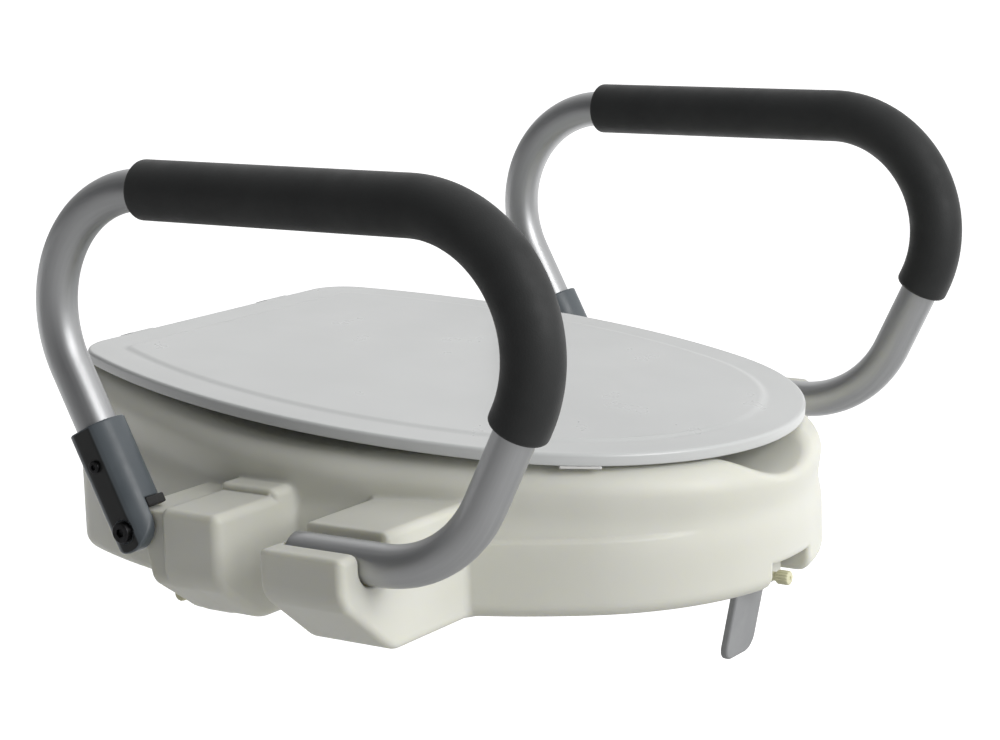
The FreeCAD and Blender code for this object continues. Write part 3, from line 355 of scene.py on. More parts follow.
def spread(tree, factor, low, high, start=0.3, end=0.7):
    """Maps a noise onto a range of numbers."""
    node = tree.nodes.new("ShaderNodeMapRange")
    node.inputs["From Min"].default_value = start
    node.inputs["From Max"].default_value = end
    node.inputs["To Min"].default_value = low
    node.inputs["To Max"].default_value = high
    tree.links.new(factor, node.inputs["Value"])
    return node.outputs["Result"]


def ramp(tree, factor, stops):
    node = tree.nodes.new("ShaderNodeValToRGB")
    elements = node.color_ramp.elements
    for number, (at, colour) in enumerate(stops):
        element = elements[number] if number < 2 else elements.new(at)
        element.position = at
        element.color = (*colour, 1.0)
    tree.links.new(factor, node.inputs["Fac"])
    return node.outputs["Color"]


def bump(tree, shader, height, distance, strength=0.5, after=None):
    node = tree.nodes.new("ShaderNodeBump")
    node.inputs["Strength"].default_value = strength
    node.inputs["Distance"].default_value = distance
    tree.links.new(height, node.inputs["Height"])
    if after is not None:
        tree.links.new(after, node.inputs["Normal"])
    tree.links.new(node.outputs["Normal"], shader.inputs["Normal"])
    return node.outputs["Normal"]


def moulded(name, dark, light, rough=(0.4, 0.5), grain=900.0, depth=0.00002, patch=14.0, **sockets):
    """Moulded plastic or rubber: slow colour drift, patchy gloss and a fine grain."""
    material, tree, shader = new_material(name, rough[0], **sockets)
    where = coordinates(tree)
    slow = noise(tree, where, patch, 3.0)
    tree.links.new(ramp(tree, slow, ((0.3, dark), (0.7, light))), shader.inputs["Base Color"])
    tree.links.new(spread(tree, noise(tree, where, patch * 3.1), *rough), shader.inputs["Roughness"])
    fine = noise(tree, where, grain, 2.0, 0.6)
    first = bump(tree, shader, fine, depth, 0.6)
    wavy = noise(tree, where, patch * 1.7, 1.0)
    bump(tree, shader, wavy, depth * 18.0, 0.35, first)
    return material


def brushed(name, dark, light, rough, stretch, scale=160.0):
    """Drawn or rolled metal with fine marks along one way."""
    material, tree, shader = new_material(name, rough[0], Metallic=1.0)
    where = coordinates(tree, stretch)
    marks = noise(tree, where, scale, 5.0, 0.65)
    tree.links.new(ramp(tree, marks, ((0.25, dark), (0.75, light))), shader.inputs["Base Color"])
    tree.links.new(spread(tree, marks, *rough), shader.inputs["Roughness"])
    bump(tree, shader, marks, 0.000015, 0.25)
    return material


def foam_material():
    """Closed-cell foam: near black, soft pores and a dull skin."""
    material, tree, shader = new_material("foam", 0.8)
    shader.inputs["Specular IOR Level"].default_value = 0.32
    shader.inputs["Sheen Weight"].default_value = 0.12
    shader.inputs["Sheen Roughness"].default_value = 0.45
    where = coordinates(tree)
    slow = noise(tree, where, 22.0, 3.0)
    colour = ramp(tree, slow, ((0.3, (0.017, 0.018, 0.018)), (0.7, (0.024, 0.025, 0.025))))
    tree.links.new(colour, shader.inputs["Base Color"])
    cells = tree.nodes.new("ShaderNodeTexVoronoi")
    cells.inputs["Scale"].default_value = 950.0
    tree.links.new(where, cells.inputs["Vector"])
    tree.links.new(spread(tree, noise(tree, where, 60.0), 0.55, 0.7), shader.inputs["Roughness"])
    first = bump(tree, shader, cells.outputs["Distance"], 0.00012, 0.35)
    bump(tree, shader, noise(tree, where, 45.0, 2.0), 0.0006, 0.25, first)
    return material


SHELL_MATERIAL = moulded("shell", (0.64, 0.64, 0.57), (0.68, 0.68, 0.62), (0.42, 0.52), 1400.0, 0.00002, 9.0,
                         Subsurface_Weight=0.3, Subsurface_Radius=(1.0, 0.9, 0.4), Subsurface_Scale=0.012)
LID_MATERIAL = moulded("lid", (0.545, 0.555, 0.55), (0.565, 0.575, 0.57), (0.27, 0.33), 40.0, 0.000004, 7.0)
HINGE_MATERIAL = moulded("hinge", (0.60, 0.60, 0.55), (0.64, 0.64, 0.59), (0.38, 0.48))
KNUCKLE_MATERIAL = moulded("knuckle", (0.085, 0.10, 0.112), (0.105, 0.122, 0.135), (0.34, 0.46),
                           1100.0, 0.00005, 30.0)
BRACKET_MATERIAL = moulded("bracket", (0.24, 0.245, 0.25), (0.28, 0.285, 0.29), (0.38, 0.5),
                           1100.0, 0.00004, 30.0)
NYLON_MATERIAL = moulded("nylon", (0.62, 0.60, 0.40), (0.70, 0.68, 0.48), (0.3, 0.42), 900.0, 0.00002, 60.0)
BLACK_PLASTIC = moulded("black_plastic", (0.008, 0.008, 0.008), (0.014, 0.014, 0.014), (0.35, 0.5))
RUBBER = moulded("rubber", (0.010, 0.010, 0.010), (0.018, 0.018, 0.018), (0.6, 0.75), 700.0, 0.00006, 40.0)
PAD_RUBBER = moulded("pad_rubber", (0.045, 0.045, 0.047), (0.06, 0.06, 0.062), (0.6, 0.75),
                     700.0, 0.00006, 40.0)
BUMPER_MATERIAL = moulded("bumper", (0.62, 0.62, 0.60), (0.68, 0.68, 0.66), (0.45, 0.55), 900.0, 0.00003, 40.0)
BEARING_MATERIAL = moulded("bearing", (0.012, 0.012, 0.012), (0.02, 0.02, 0.02), (0.4, 0.55),
                           900.0, 0.00004, 40.0)
WASHER_MATERIAL = moulded("washer", (0.02, 0.02, 0.022), (0.03, 0.03, 0.032), (0.4, 0.5), 900.0, 0.00003, 40.0)
STEEL = brushed("steel", (0.42, 0.42, 0.43), (0.62, 0.62, 0.63), (0.25, 0.4), (1.0, 1.0, 1.0), 220.0)
BLACK_STEEL = brushed("black_steel", (0.02, 0.02, 0.021), (0.05, 0.05, 0.052), (0.28, 0.42), (1.0, 1.0, 1.0),
                      260.0)
ALUMINIUM = brushed("aluminium", (0.42, 0.425, 0.43), (0.50, 0.505, 0.51), (0.40, 0.48), (60.0, 1.0, 1.0), 9.0)
FOAM_MATERIAL = foam_material()


def paint_cheek_shade(material):
    """Paints shade into a moulding: near-black colour on the faces that look straight outwards along X, standing
    in for the shade on the knuckle's flat cheek.
    """
    tree = material.node_tree
    shader = tree.nodes["Principled BSDF"]
    facing = tree.nodes.new("ShaderNodeTexCoord").outputs["Normal"]
    parts = tree.nodes.new("ShaderNodeSeparateXYZ")
    tree.links.new(facing, parts.inputs["Vector"])
    size = tree.nodes.new("ShaderNodeMath")
    size.operation = "ABSOLUTE"
    tree.links.new(parts.outputs["X"], size.inputs[0])
    # painted shade mask: 1 on faces that look straight outwards along X
    flat = spread(tree, size.outputs[0], 0.0, 1.0, 0.975, 0.992)
    grey = shader.inputs["Base Color"].links[0].from_socket
    shade_mix = tree.nodes.new("ShaderNodeMix")
    shade_mix.data_type = "RGBA"
    first, second = [socket for socket in shade_mix.inputs if socket.type == "RGBA"]
    tree.links.new(flat, shade_mix.inputs["Factor"])
    tree.links.new(grey, first)
    # near-black painted shade colour, mixed in on those faces
    tree.links.new(ramp(tree, grey, ((0.05, (0.008, 0.009, 0.009)), (0.2, (0.012, 0.013, 0.013)))), second)
    colour_with_painted_shade = [socket for socket in shade_mix.outputs if socket.type == "RGBA"][0]
    tree.links.new(colour_with_painted_shade, shader.inputs["Base Color"])


# painted shade on the knuckles' outward flat cheeks
paint_cheek_shade(KNUCKLE_MATERIAL)

CARRIED = {"hinge_screws": STEEL, "rim_bearing": HINGE_MATERIAL}
for label, _ in SIDES:
    CARRIED[f"hinge_block_{label}"] = HINGE_MATERIAL
    CARRIED[f"hinge_pin_{label}"] = STEEL
    CARRIED[f"pivot_washer_{label}"] = WASHER_MATERIAL
    CARRIED[f"pivot_nut_{label}"] = STEEL
    CARRIED[f"side_bearing_{label}"] = BEARING_MATERIAL
    CARRIED[f"tube_plug_{label}"] = BLACK_PLASTIC
for node, material in CARRIED.items():
    mesh = frame["nodes"][node].data
    mesh.materials.clear()
    mesh.materials.append(material)


# ---------------------------------------------------------------- seat shell
seat_egg, opening_egg, lid_egg = Egg(**SEAT), Egg(**OPENING), Egg(**LID)
RIM_ROLL = 17.0
FOOT_ROUND = 10.0
DIP_RADIUS, DIP_BOTTOM = 75.0, 71.0
SADDLE = dict(depth=7.0, middle=45.0, reach=175.0)
FRONT_EAR = dict(x=288.0, foot=240.5, knee=38.0, wall=66.0, block=72.0, front=-83.5, rear=-23.5)
REAR_EAR = dict(x=264.0, foot=226.0, knee=29.0, top=73.0, front=27.0, rear=70.0)
SLOT_RADIUS = TUBE + 0.6
SLOT_END_Y = TUBE_END_Y + 0.7
LUG = dict(x=260.5, radius=13.0, ledge=70.4)
NOTCH = dict(half=23.5, top=16.0, depth=33.0, front_y=-187.5, side_x=176.0, side_y=112.0)
HINGE_X = 74.0
HINGE_SEAT = dict(half=19.0, front=221.5, depth=17.0)
PADS = ((95.0, -137.0), (110.0, 205.0))
PAD_HALF = (25.0, 10.0, 1.5)


def saddle(y):
    """How far the rim dips beside the sitting person's thighs."""
    turn = np.clip((y - SADDLE["middle"]) / SADDLE["reach"], -1.0, 1.0) * math.pi / 2.0
    return SADDLE["depth"] * np.cos(turn) ** 2


def ear_section(x, z, ear, rounding):
    """Outer face and slanting underside of an ear."""
    run, rise = ear["x"] - ear["foot"], ear["knee"]
    length = math.hypot(run, rise)
    slant = (x - ear["foot"]) * rise / length - z * run / length
    return both(slant, x - ear["x"], rounding)


def front_ear(x, y, z):
    ear = FRONT_EAR
    block = both(z - ear["block"], x - (ARM_X - SLOT_RADIUS), 3.5)
    top = np.minimum(z - ear["wall"], block)
    solid = both(ear_section(x, z, ear, 7.0), top, 3.0)
    solid = both(solid, ear["front"] - y, 5.0)
    solid = both(solid, y - ear["rear"], 4.0)
    slot = np.hypot(x - ARM_X, np.minimum(z - SLOT_Z, 0.0)) - SLOT_RADIUS
    return without(solid, np.maximum(slot, y - SLOT_END_Y), 2.2)


def rear_ear(x, y, z):
    ear = REAR_EAR
    section = ear_section(x, z, ear, 7.0)
    step = both(z - ear["top"] - 4.5, x - 208.0, 3.0)
    solid = both(section, np.minimum(z - ear["top"], step), 5.0)
    solid = both(solid, ear["front"] - y, 6.0)
    solid = both(solid, y - ear["rear"], 2.0)
    pivot_y, pivot_z = PIVOT[1], PIVOT[2]
    radius = LUG["radius"]
    knob = np.hypot(y - pivot_y, z - pivot_z) - radius
    heel_y, heel_z = pivot_y - 5.0, pivot_z - radius * 12.0 / 13.0
    foot_y = ear["rear"] + 6.0
    length = math.hypot(heel_y - foot_y, heel_z)
    under = (y - foot_y) * heel_z / length - z * (heel_y - foot_y) / length
    web = np.maximum(np.maximum(under, y - pivot_y), np.maximum(z - LUG["ledge"], ear["rear"] - 20.0 - y))
    lug = both(both(np.minimum(knob, web), x - LUG["x"], 1.5), section, 2.0)
    lug = np.maximum(lug, z - LUG["ledge"])
    return either(solid, lug, 1.5)


def shell_distance(x, y, z):
    x = np.abs(x)
    deck = LID_REST - DECK_GAP + y * math.tan(SLOPE) - saddle(y)
    bowl = opening_egg.distance(x, y)
    deck = deck - 5.0 * (1.0 - fade(bowl, 0.0, 42.0))
    height = z - deck
    outline = seat_egg.distance(x, y)
    side = fade(y, -150.0, -40.0)
    valley = (2.2 + 2.2 * side) * np.exp(-((height + 33.0) / 11.0) ** 2)
    ledge = 2.2 * fade(z, 47.0, 50.0) * fade(x, 72.0, 118.0) * (1.0 - fade(y, -40.0, 20.0))
    wall = outline + valley + ledge
    body = both(wall, height * math.cos(SLOPE), RIM_ROLL)
    body = without(body, bowl, 9.0)
    body = both(body, -z, FOOT_ROUND)
    dip = np.hypot(x, z - DIP_BOTTOM - DIP_RADIUS) - DIP_RADIUS
    body = without(body, np.maximum(dip, y - OPENING["widest"]), 5.0)
    body = either(body, both(front_ear(x, y, z), -z, 5.0), 3.0)
    body = either(body, both(rear_ear(x, y, z), -z, 5.0), 3.0)
    front_notch = np.maximum(x - NOTCH["half"], y - NOTCH["front_y"] - NOTCH["depth"])
    body = without(body, np.maximum(front_notch, z - NOTCH["top"]), 3.5)
    beside = np.maximum(NOTCH["side_x"] - NOTCH["depth"] - x, np.abs(y - NOTCH["side_y"]) - NOTCH["half"])
    body = without(body, np.maximum(beside, z - NOTCH["top"]), 3.0)
    lid_y = y * math.cos(SLOPE) + (z - LID_REST) * math.sin(SLOPE)
    lid_z = (z - LID_REST) * math.cos(SLOPE) - y * math.sin(SLOPE)
    seat = np.maximum(np.abs(x - HINGE_X) - HINGE_SEAT["half"], HINGE_SEAT["front"] - lid_y)
    body = without(body, np.maximum(seat, -HINGE_SEAT["depth"] - lid_z), 1.5)
    for pad_x, pad_y in PADS:
        pad = np.maximum(np.abs(x - pad_x) - PAD_HALF[0], np.abs(y - pad_y) - PAD_HALF[1])
        body = without(body, np.maximum(pad, z - 2.0), 0.4)
    return body


def make_shell():
    points, faces, normals = skin(shell_distance, shell_low, shell_high, 2.1)
    shell = make_piece("shell_moulding", points, faces, SHELL_MATERIAL, "seat", normals)
    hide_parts("seat_shell")


# ---------------------------------------------------------------- lid
def lid_points(points):
    """From the lid's sloping frame, whose z is 0 on its underside, to the row frame."""
    points = np.asarray(points, float)
    y, z = points[:, 1], points[:, 2]
    row_y = y * math.cos(SLOPE) - z * math.sin(SLOPE)
    row_z = LID_REST + y * math.sin(SLOPE) + z * math.cos(SLOPE)
    return np.stack([points[:, 0], row_y, row_z], axis=1)


def lid_top(inset):
    """Height of the lid's top at some way in from its edge: a sloping band, a soft step and a crowned panel."""
    band = 7.7 + 0.3 * float(fade(inset, 1.5, 20.0))
    step = 1.2 * float(fade(inset, 24.0, 30.0))
    crown = 0.8 * float(fade(inset, 28.0, 150.0))
    return band + step + crown


LID_MIDDLE_Y = 25.0
LID_EDGE_ROUND, LID_FOOT_ROUND = 2.2, 0.9
LUG_HALF = 12.0
LUG_RADIUS = 5.5
PIN_Y, PIN_Z = 254.6, -3.0


def lid_rings():
    """Rings of the lid from the middle of its hollow underside, round its edge, to the middle of its top."""
    per_arc = 48
    lid_ring = lid_egg.ring
    edge_round, foot_round = LID_EDGE_ROUND, LID_FOOT_ROUND
    under = [(LID_BAND + LID_SKIN, 0.0), (12.0, 0.0), (5.0, 0.0)]
    rim = [(foot_round * (1.0 - math.sin(t)), foot_round * (1.0 - math.cos(t)))
           for t in np.linspace(0.0, math.pi / 2.0, 4)]
    shoulder = lid_top(edge_round) - edge_round
    rim += [(0.0, shoulder * 0.5)]
    rim += [(edge_round * (1.0 - math.cos(t)), shoulder + edge_round * math.sin(t))
            for t in np.linspace(0.0, math.pi / 2.0, 7)]
    insets = (4.0, 7.0, 11.0, 15.0, 19.0, 22.0, 23.5, 25.0, 26.5, 28.0, 29.5, 31.0, LID_PANEL)
    top = [(inset, lid_top(inset)) for inset in insets]
    rings = []

    def add(inset, height):
        flat = lid_ring(inset, per_arc)
        rings.append(np.column_stack([flat, np.full(len(flat), height)]))

    middle = np.array([0.0, LID_MIDDLE_Y])
    inner_top = lid_ring(LID_PANEL, per_arc)
    inner_under = lid_ring(LID_BAND + LID_SKIN, per_arc)

    def add_scaled(base, share, height):
        flat = middle + (base - middle) * share
        rings.append(np.column_stack([flat, np.full(len(flat), height)]))

    def depth_of(share):
        return LID_PANEL + (1.0 - share) * 130.0

    hollow = lid_top(60.0) - LID_SKIN
    for share in (0.04, 0.3, 0.6, 0.9, 0.975):
        add_scaled(inner_under, share, hollow)
    add_scaled(inner_under, 0.99, hollow - 1.0)
    for inset, height in under + rim + top:
        add(inset, height)
    for share in (0.96, 0.9, 0.8, 0.68, 0.54, 0.4, 0.26, 0.12, 0.04):
        add_scaled(inner_top, share, lid_top(depth_of(share)))
    return rings, hollow


def make_lid_panel():
    rings, hollow = lid_rings()
    around = len(rings[0])
    points = np.vstack(rings)
    points = np.vstack([points, [(0.0, LID_MIDDLE_Y, hollow)], [(0.0, LID_MIDDLE_Y, lid_top(170.0))]])
    faces = loops_to_faces(len(rings), around, len(points) - 2, len(points) - 1)
    panel = make_piece("lid_panel", lid_points(points), faces, LID_MATERIAL, "lid", sharp=35.0)
    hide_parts("lid")


def make_lid_lugs():
    """The lid's two lugs, which turn on the hinge pins."""
    radius, rear = LUG_RADIUS, LID["rear"]
    outline = [(PIN_Y + radius * math.cos(t), PIN_Z + radius * math.sin(t))
               for t in np.linspace(-math.pi, 0.25, 22)]
    outline += [(PIN_Y + radius * 0.9, PIN_Z + radius * 1.2), (rear + 1.5, LID_EDGE - 1.3)]
    outline += [(rear - 4.0, LID_EDGE - 1.0), (PIN_Y - radius - 6.0, 1.0)]
    outline = np.array(outline)
    centre, count = outline.mean(0), len(outline)
    steps = ((-LUG_HALF, 0.9), (-LUG_HALF + 0.8, 1.0), (LUG_HALF - 0.8, 1.0), (LUG_HALF, 0.9))
    faces = loops_to_faces(len(steps), count)
    faces.append(tuple(range(count))[::-1])
    faces.append(tuple(range(3 * count, 4 * count)))
    for label, side in SIDES:
        lug = []
        for across, share in steps:
            lug += [(side * HINGE_X + across, y, z) for y, z in centre + (outline - centre) * share]
        make_piece(f"lid_lug_{label}", lid_points(lug), faces, LID_MATERIAL, "lid", sharp=40.0)


def make_bumpers():
    """Soft pads under the lid's band, turned to follow its edge."""
    half = (5.0, 13.0, 1.0)
    points, faces, _ = skin(lambda u, v, w: rounded_box(u, v, w, half, 0.8), -np.array(half), half, 0.7)
    number = 0
    for x, y, degrees in ((126.8, -141.7, -40.6), (150.0, 168.0, 16.0)):
        turn = math.radians(degrees)
        across = points[:, 0] * math.cos(turn) - points[:, 1] * math.sin(turn)
        along = points[:, 0] * math.sin(turn) + points[:, 1] * math.cos(turn)
        for side in (1.0, -1.0):
            number += 1
            placed = np.stack([side * (x + across), y + along, points[:, 2] - 1.0], axis=1)
            faces_out = faces if side > 0 else faces[:, ::-1]
            piece = make_piece(f"bumper_{number}", lid_points(placed), faces_out, BUMPER_MATERIAL, "lid")
            if number == 1:
                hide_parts("lid_bumpers")


# ---------------------------------------------------------------- armrests
def walk(start, heading, moves, step=3.0):
    """Centre line in the armrest's plane: straight runs and arcs, with heading in degrees."""
    y, z = start
    turn = math.radians(heading)
    line = [(y, z)]
    for kind, *numbers in moves:
        if kind == "go":
            count = max(int(numbers[0] / step / 3.0), 1)
            for n in range(1, count + 1):
                length = numbers[0] * n / count
                line.append((y + length * math.cos(turn), z + length * math.sin(turn)))
            y, z = line[-1]
        else:
            radius, degrees = numbers
            centre = (y + radius * math.sin(turn), z - radius * math.cos(turn))
            count = max(int(radius * math.radians(degrees) / step), 4)
            for n in range(1, count + 1):
                now = turn - math.radians(degrees) * n / count
                line.append((centre[0] - radius * math.sin(now), centre[1] + radius * math.cos(now)))
            turn -= math.radians(degrees)
            y, z = line[-1]
    return np.array(line)


def arm_lines():
    """Centre lines of the tube and of the foam."""
    lean, back = math.radians(FRONT_LEAN), math.radians(180.0 - REAR_LEAN)
    low_y = FRONT_FOOT_Y - FRONT_LOWER_BEND * math.sin(lean)
    low_z = SLOT_Z + FRONT_LOWER_BEND * (1.0 - math.cos(lean))
    rest = GRIP_Z - low_z - FRONT_UPPER_BEND * (1.0 + math.cos(lean))
    straight = rest / math.sin(lean)
    up_y = low_y - straight * math.cos(lean)
    grip_front = up_y + FRONT_UPPER_BEND * math.sin(lean)
    drop = REAR_BEND * (1.0 - math.cos(back))
    rear = math.radians(REAR_LEAN)
    leg = (GRIP_Z - drop - PIVOT[2]) / math.sin(rear)
    grip_rear = PIVOT[1] + leg * math.cos(rear) - REAR_BEND * math.sin(back)
    moves = [("go", TUBE_END_Y - FRONT_FOOT_Y), ("turn", FRONT_LOWER_BEND, FRONT_LEAN), ("go", straight),
             ("turn", FRONT_UPPER_BEND, 180.0 - FRONT_LEAN), ("go", grip_rear - grip_front),
             ("turn", REAR_BEND, 180.0 - REAR_LEAN), ("go", leg - TUBE_SEAT)]
    tube = walk((TUBE_END_Y, SLOT_Z), 180.0, moves)
    start = (up_y + FOAM_PAST_BEND * math.cos(lean), low_z + rest - FOAM_PAST_BEND * math.sin(lean))
    foam_moves = [("go", FOAM_PAST_BEND), ("turn", FRONT_UPPER_BEND, 180.0 - FRONT_LEAN),
                  ("go", FOAM_REAR_Y - grip_front)]
    foam = walk(start, 180.0 - FRONT_LEAN, foam_moves)
    return tube, foam


def sweep(line, profile, x, around=40):
    """A tube along a line in the plane at x; profile gives (place along the line, radius) rings."""
    step = np.linalg.norm(np.diff(line, axis=0), axis=1)
    along = np.concatenate([[0.0], np.cumsum(step)])
    way = np.gradient(line, along, axis=0)
    way /= np.linalg.norm(way, axis=1)[:, None]
    angles = np.linspace(0.0, 2.0 * math.pi, around, endpoint=False)
    points = []
    for place, radius in profile:
        y, z = np.interp(place, along, line[:, 0]), np.interp(place, along, line[:, 1])
        wy, wz = np.interp(place, along, way[:, 0]), np.interp(place, along, way[:, 1])
        for turn in angles:
            out = radius * math.sin(turn)
            points.append((x + radius * math.cos(turn), y - out * wz, z + out * wy))
    return np.array(points), loops_to_faces(len(profile), around), along[-1]


def line_length(line):
    return np.linalg.norm(np.diff(line, axis=0), axis=1).sum()


def make_armrest(label, side):
    tube_line, foam_line = arm_lines()
    body = f"armrest_{label}"
    x = side * ARM_X
    length = line_length(tube_line)
    step = np.linalg.norm(np.diff(tube_line, axis=0), axis=1)
    places = np.concatenate([[0.0], np.cumsum(step)])
    profile = [(12.0, TUBE - TUBE_WALL), (0.4, TUBE - TUBE_WALL), (0.0, TUBE - TUBE_WALL + 0.4)]
    profile += [(0.0, TUBE - 0.5), (0.5, TUBE)]
    profile += [(p, TUBE) for p in places if 2.0 < p < length - 2.0]
    profile += [(length - 0.4, TUBE), (length, TUBE - 0.4), (length, TUBE - TUBE_WALL)]
    profile += [(length - 12.0, TUBE - TUBE_WALL)]
    points, faces, _ = sweep(tube_line, profile, x)
    tube = make_piece(f"tube_{label}", points, faces, ALUMINIUM, body, sharp=50.0)
    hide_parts(f"arm_tube_{label}")

    length = line_length(foam_line)
    lip = 3.0
    ends = [(lip * (1.0 - math.sin(t)), FOAM - lip * (1.0 - math.cos(t)))
            for t in np.linspace(math.pi / 2.0, 0.0, 7)]
    profile = [(0.6, TUBE + 0.05), (0.0, TUBE + 0.7)]
    profile += ends
    profile += [(p, FOAM) for p in np.arange(lip + 2.5, length - lip - 2.0, 3.0)]
    profile += [(length - p, r) for p, r in ends[::-1]]
    profile += [(length, TUBE + 0.7), (length - 0.6, TUBE + 0.05)]
    points, faces, _ = sweep(foam_line, profile, x, 56)
    foam = make_piece(f"foam_{label}", points, faces, FOAM_MATERIAL, body)
    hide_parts(f"foam_grip_{label}")


# ---------------------------------------------------------------- knuckles and pivots
KNUCKLE = dict(radius=17.5, flat=15.5, bottom=14.0, top=67.0, cheek=4.3, tail=13.5, screw=43.0)
REAR_TILT = math.radians(90.0 - REAR_LEAN)


def foot_points(points, side):
    """From the frame of the armrest's foot, which leans with the tube, to the row frame."""
    points = np.asarray(points, float)
    y, z = points[:, 1], points[:, 2]
    row_y = PIVOT[1] + y * math.cos(REAR_TILT) + z * math.sin(REAR_TILT)
    row_z = PIVOT[2] - y * math.sin(REAR_TILT) + z * math.cos(REAR_TILT)
    return np.stack([side * ARM_X + points[:, 0], row_y, row_z], axis=1)


def foot_normals(normals):
    y, z = normals[:, 1], normals[:, 2]
    return np.stack([normals[:, 0], y * math.cos(REAR_TILT) + z * math.sin(REAR_TILT),
                     z * math.cos(REAR_TILT) - y * math.sin(REAR_TILT)], axis=1)


def knuckle_distance(side):
    k = KNUCKLE

    def distance(x, y, z):
        out = side * x
        barrel = both(np.hypot(out, y) - k["radius"], out - k["flat"], 1.3)
        end = np.hypot(y, np.minimum(z - k["radius"] + k["tail"], 0.0)) - k["radius"]
        solid = both(both(barrel, end, 1.2), z - k["top"], 1.0)
        solid = without(solid, np.maximum(out - k["cheek"], z - k["bottom"]), 0.9)
        bore = np.maximum(np.hypot(out, y) - TUBE - 0.05, k["bottom"] - 1.0 - z)
        solid = without(solid, bore, 0.7)
        solid = without(solid, np.hypot(y, z) - 4.05)
        pocket = np.maximum(np.hypot(y, z) - 7.4, k["flat"] - 0.6 - out)
        return without(solid, pocket, 0.3)

    return distance


def socket_head(radius, height, across, round_edge=0.5):
    """Cap screw head: turned edge and a hexagonal socket."""
    rim = [(radius, 0.0), (radius, height - round_edge)]
    rim += [(radius - round_edge * (1.0 - math.cos(t)), height - round_edge * (1.0 - math.sin(t)))
            for t in np.linspace(0.4, math.pi / 2.0, 4)]
    hexed = hexagon(across)
    profile = rim + [(across * 0.66, height), (lambda t: hexed(t) * 1.04, height - 0.05)]
    profile += [(hexed, height - 0.35), (hexed, height * 0.42), (lambda t: hexed(t) * 0.5, height * 0.32)]
    return turned(profile, 60)


def threaded(radius, start, end, pitch=1.5, depth=0.35, around=32):
    """A screw shank with a helical thread, along +Z."""
    rows = max(int((end - start) / pitch * 8.0), 2)
    angles = np.linspace(0.0, 2.0 * math.pi, around, endpoint=False)
    points = []
    for height in np.linspace(start, end, rows):
        for turn in angles:
            phase = (height / pitch - turn / (2.0 * math.pi)) % 1.0
            bite = depth * (1.0 - abs(2.0 * phase - 1.0))
            points.append(((radius - bite) * math.cos(turn), (radius - bite) * math.sin(turn), height))
    points += [(0.0, 0.0, start), (0.0, 0.0, end)]
    return np.array(points), loops_to_faces(rows, around, len(points) - 2, len(points) - 1)


def make_knuckle(label, side):
    k = KNUCKLE
    low = (-k["radius"], -k["radius"], -k["tail"])
    high = (k["radius"], k["radius"], k["top"])
    points, faces, normals = skin(knuckle_distance(side), low, high, 0.8)
    body = f"armrest_{label}"
    piece = make_piece(f"knuckle_moulding_{label}", foot_points(points, side), faces, KNUCKLE_MATERIAL, body,
                       foot_normals(normals))
    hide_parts(f"knuckle_{label}")

    axis = (side, 0.0, 0.0)
    head, faces = socket_head(3.9, 2.0, 3.2, 0.5)
    points = foot_points(aimed(head, axis, (side * k["flat"], 0.0, k["screw"])), side)
    piece = make_piece(f"fixing_screw_{label}", points, faces, BLACK_STEEL, body, sharp=40.0)
    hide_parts(f"knuckle_screw_{label}")

    head, faces = socket_head(6.3, 4.0, 5.0, 0.7)
    points = aimed(head, axis, (side * (ARM_X + k["flat"] - 0.4), PIVOT[1], PIVOT[2]), 0.3)
    piece = make_piece(f"pivot_head_{label}", points, faces, BLACK_STEEL, "seat", sharp=40.0)
    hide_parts(f"pivot_bolt_{label}")
    shank, faces = threaded(4.0, -45.0, -0.4, 1.25, 0.4)
    points = aimed(shank, axis, (side * (ARM_X + k["flat"]), PIVOT[1], PIVOT[2]))
    make_piece(f"pivot_shank_{label}", points, faces, BLACK_STEEL, "seat")

    low_x, high_x = (-12.0, 3.9) if side > 0 else (-3.9, 12.0)
    centre = ((low_x + high_x) / 2.0, -14.0, 11.0)
    half = ((high_x - low_x) / 2.0, 3.0, 3.0)
    points, faces, normals = skin(lambda x, y, z: rounded_box(x, y, z, half, 0.9), -np.array(half), half, 0.6)
    piece = make_piece(f"stop_pad_{label}", foot_points(points + centre, side), faces, RUBBER, body,
                       foot_normals(normals))
    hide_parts(f"stop_block_{label}")


# ---------------------------------------------------------------- clamps and pads
CLAMP = dict(front_y=-187.5, front_z=2.0, side_x=176.0, side_y=112.0, side_z=-1.0, reach=27.5, knob=8.5)
BRACKET = dict(half=18.5, thick=5.0, drop=56.0, rise=10.0, lean=math.radians(10.0), boss=9.0, depth=12.0)


def knob_profile():
    """A ridged grip with a domed end, along +Z."""
    def ridged(radius):
        return lambda turn: radius - 0.45 * (0.5 + 0.5 * math.cos(14.0 * turn)) ** 2

    reach = CLAMP["reach"]
    start = reach - CLAMP["knob"]
    return [(3.0, start), (4.0, start + 0.1), (ridged(4.5), start + 0.7), (ridged(4.6), start + 1.4),
            (ridged(4.6), reach - 1.3), (ridged(4.45), reach - 0.6), (4.0, reach - 0.15),
            (3.2, reach), (1.4, reach), (1.2, reach - 0.6)]


def join_parts(parts):
    points, faces, start = [], [], 0
    for part_points, part_faces in parts:
        points.append(part_points)
        faces += [tuple(v + start for v in face) for face in part_faces]
        start += len(part_points)
    return np.vstack(points), faces


def clamp_screw(start, collar=None):
    parts = [threaded(3.0, start, CLAMP["reach"] - CLAMP["knob"] + 0.3), turned(knob_profile(), 84)]
    if collar is not None:
        parts.append(turned([(3.0, collar), (4.3, collar), (4.6, collar + 0.3), (4.6, collar + 1.2),
                             (4.3, collar + 1.5), (3.0, collar + 1.5)], 40))
    return join_parts(parts)


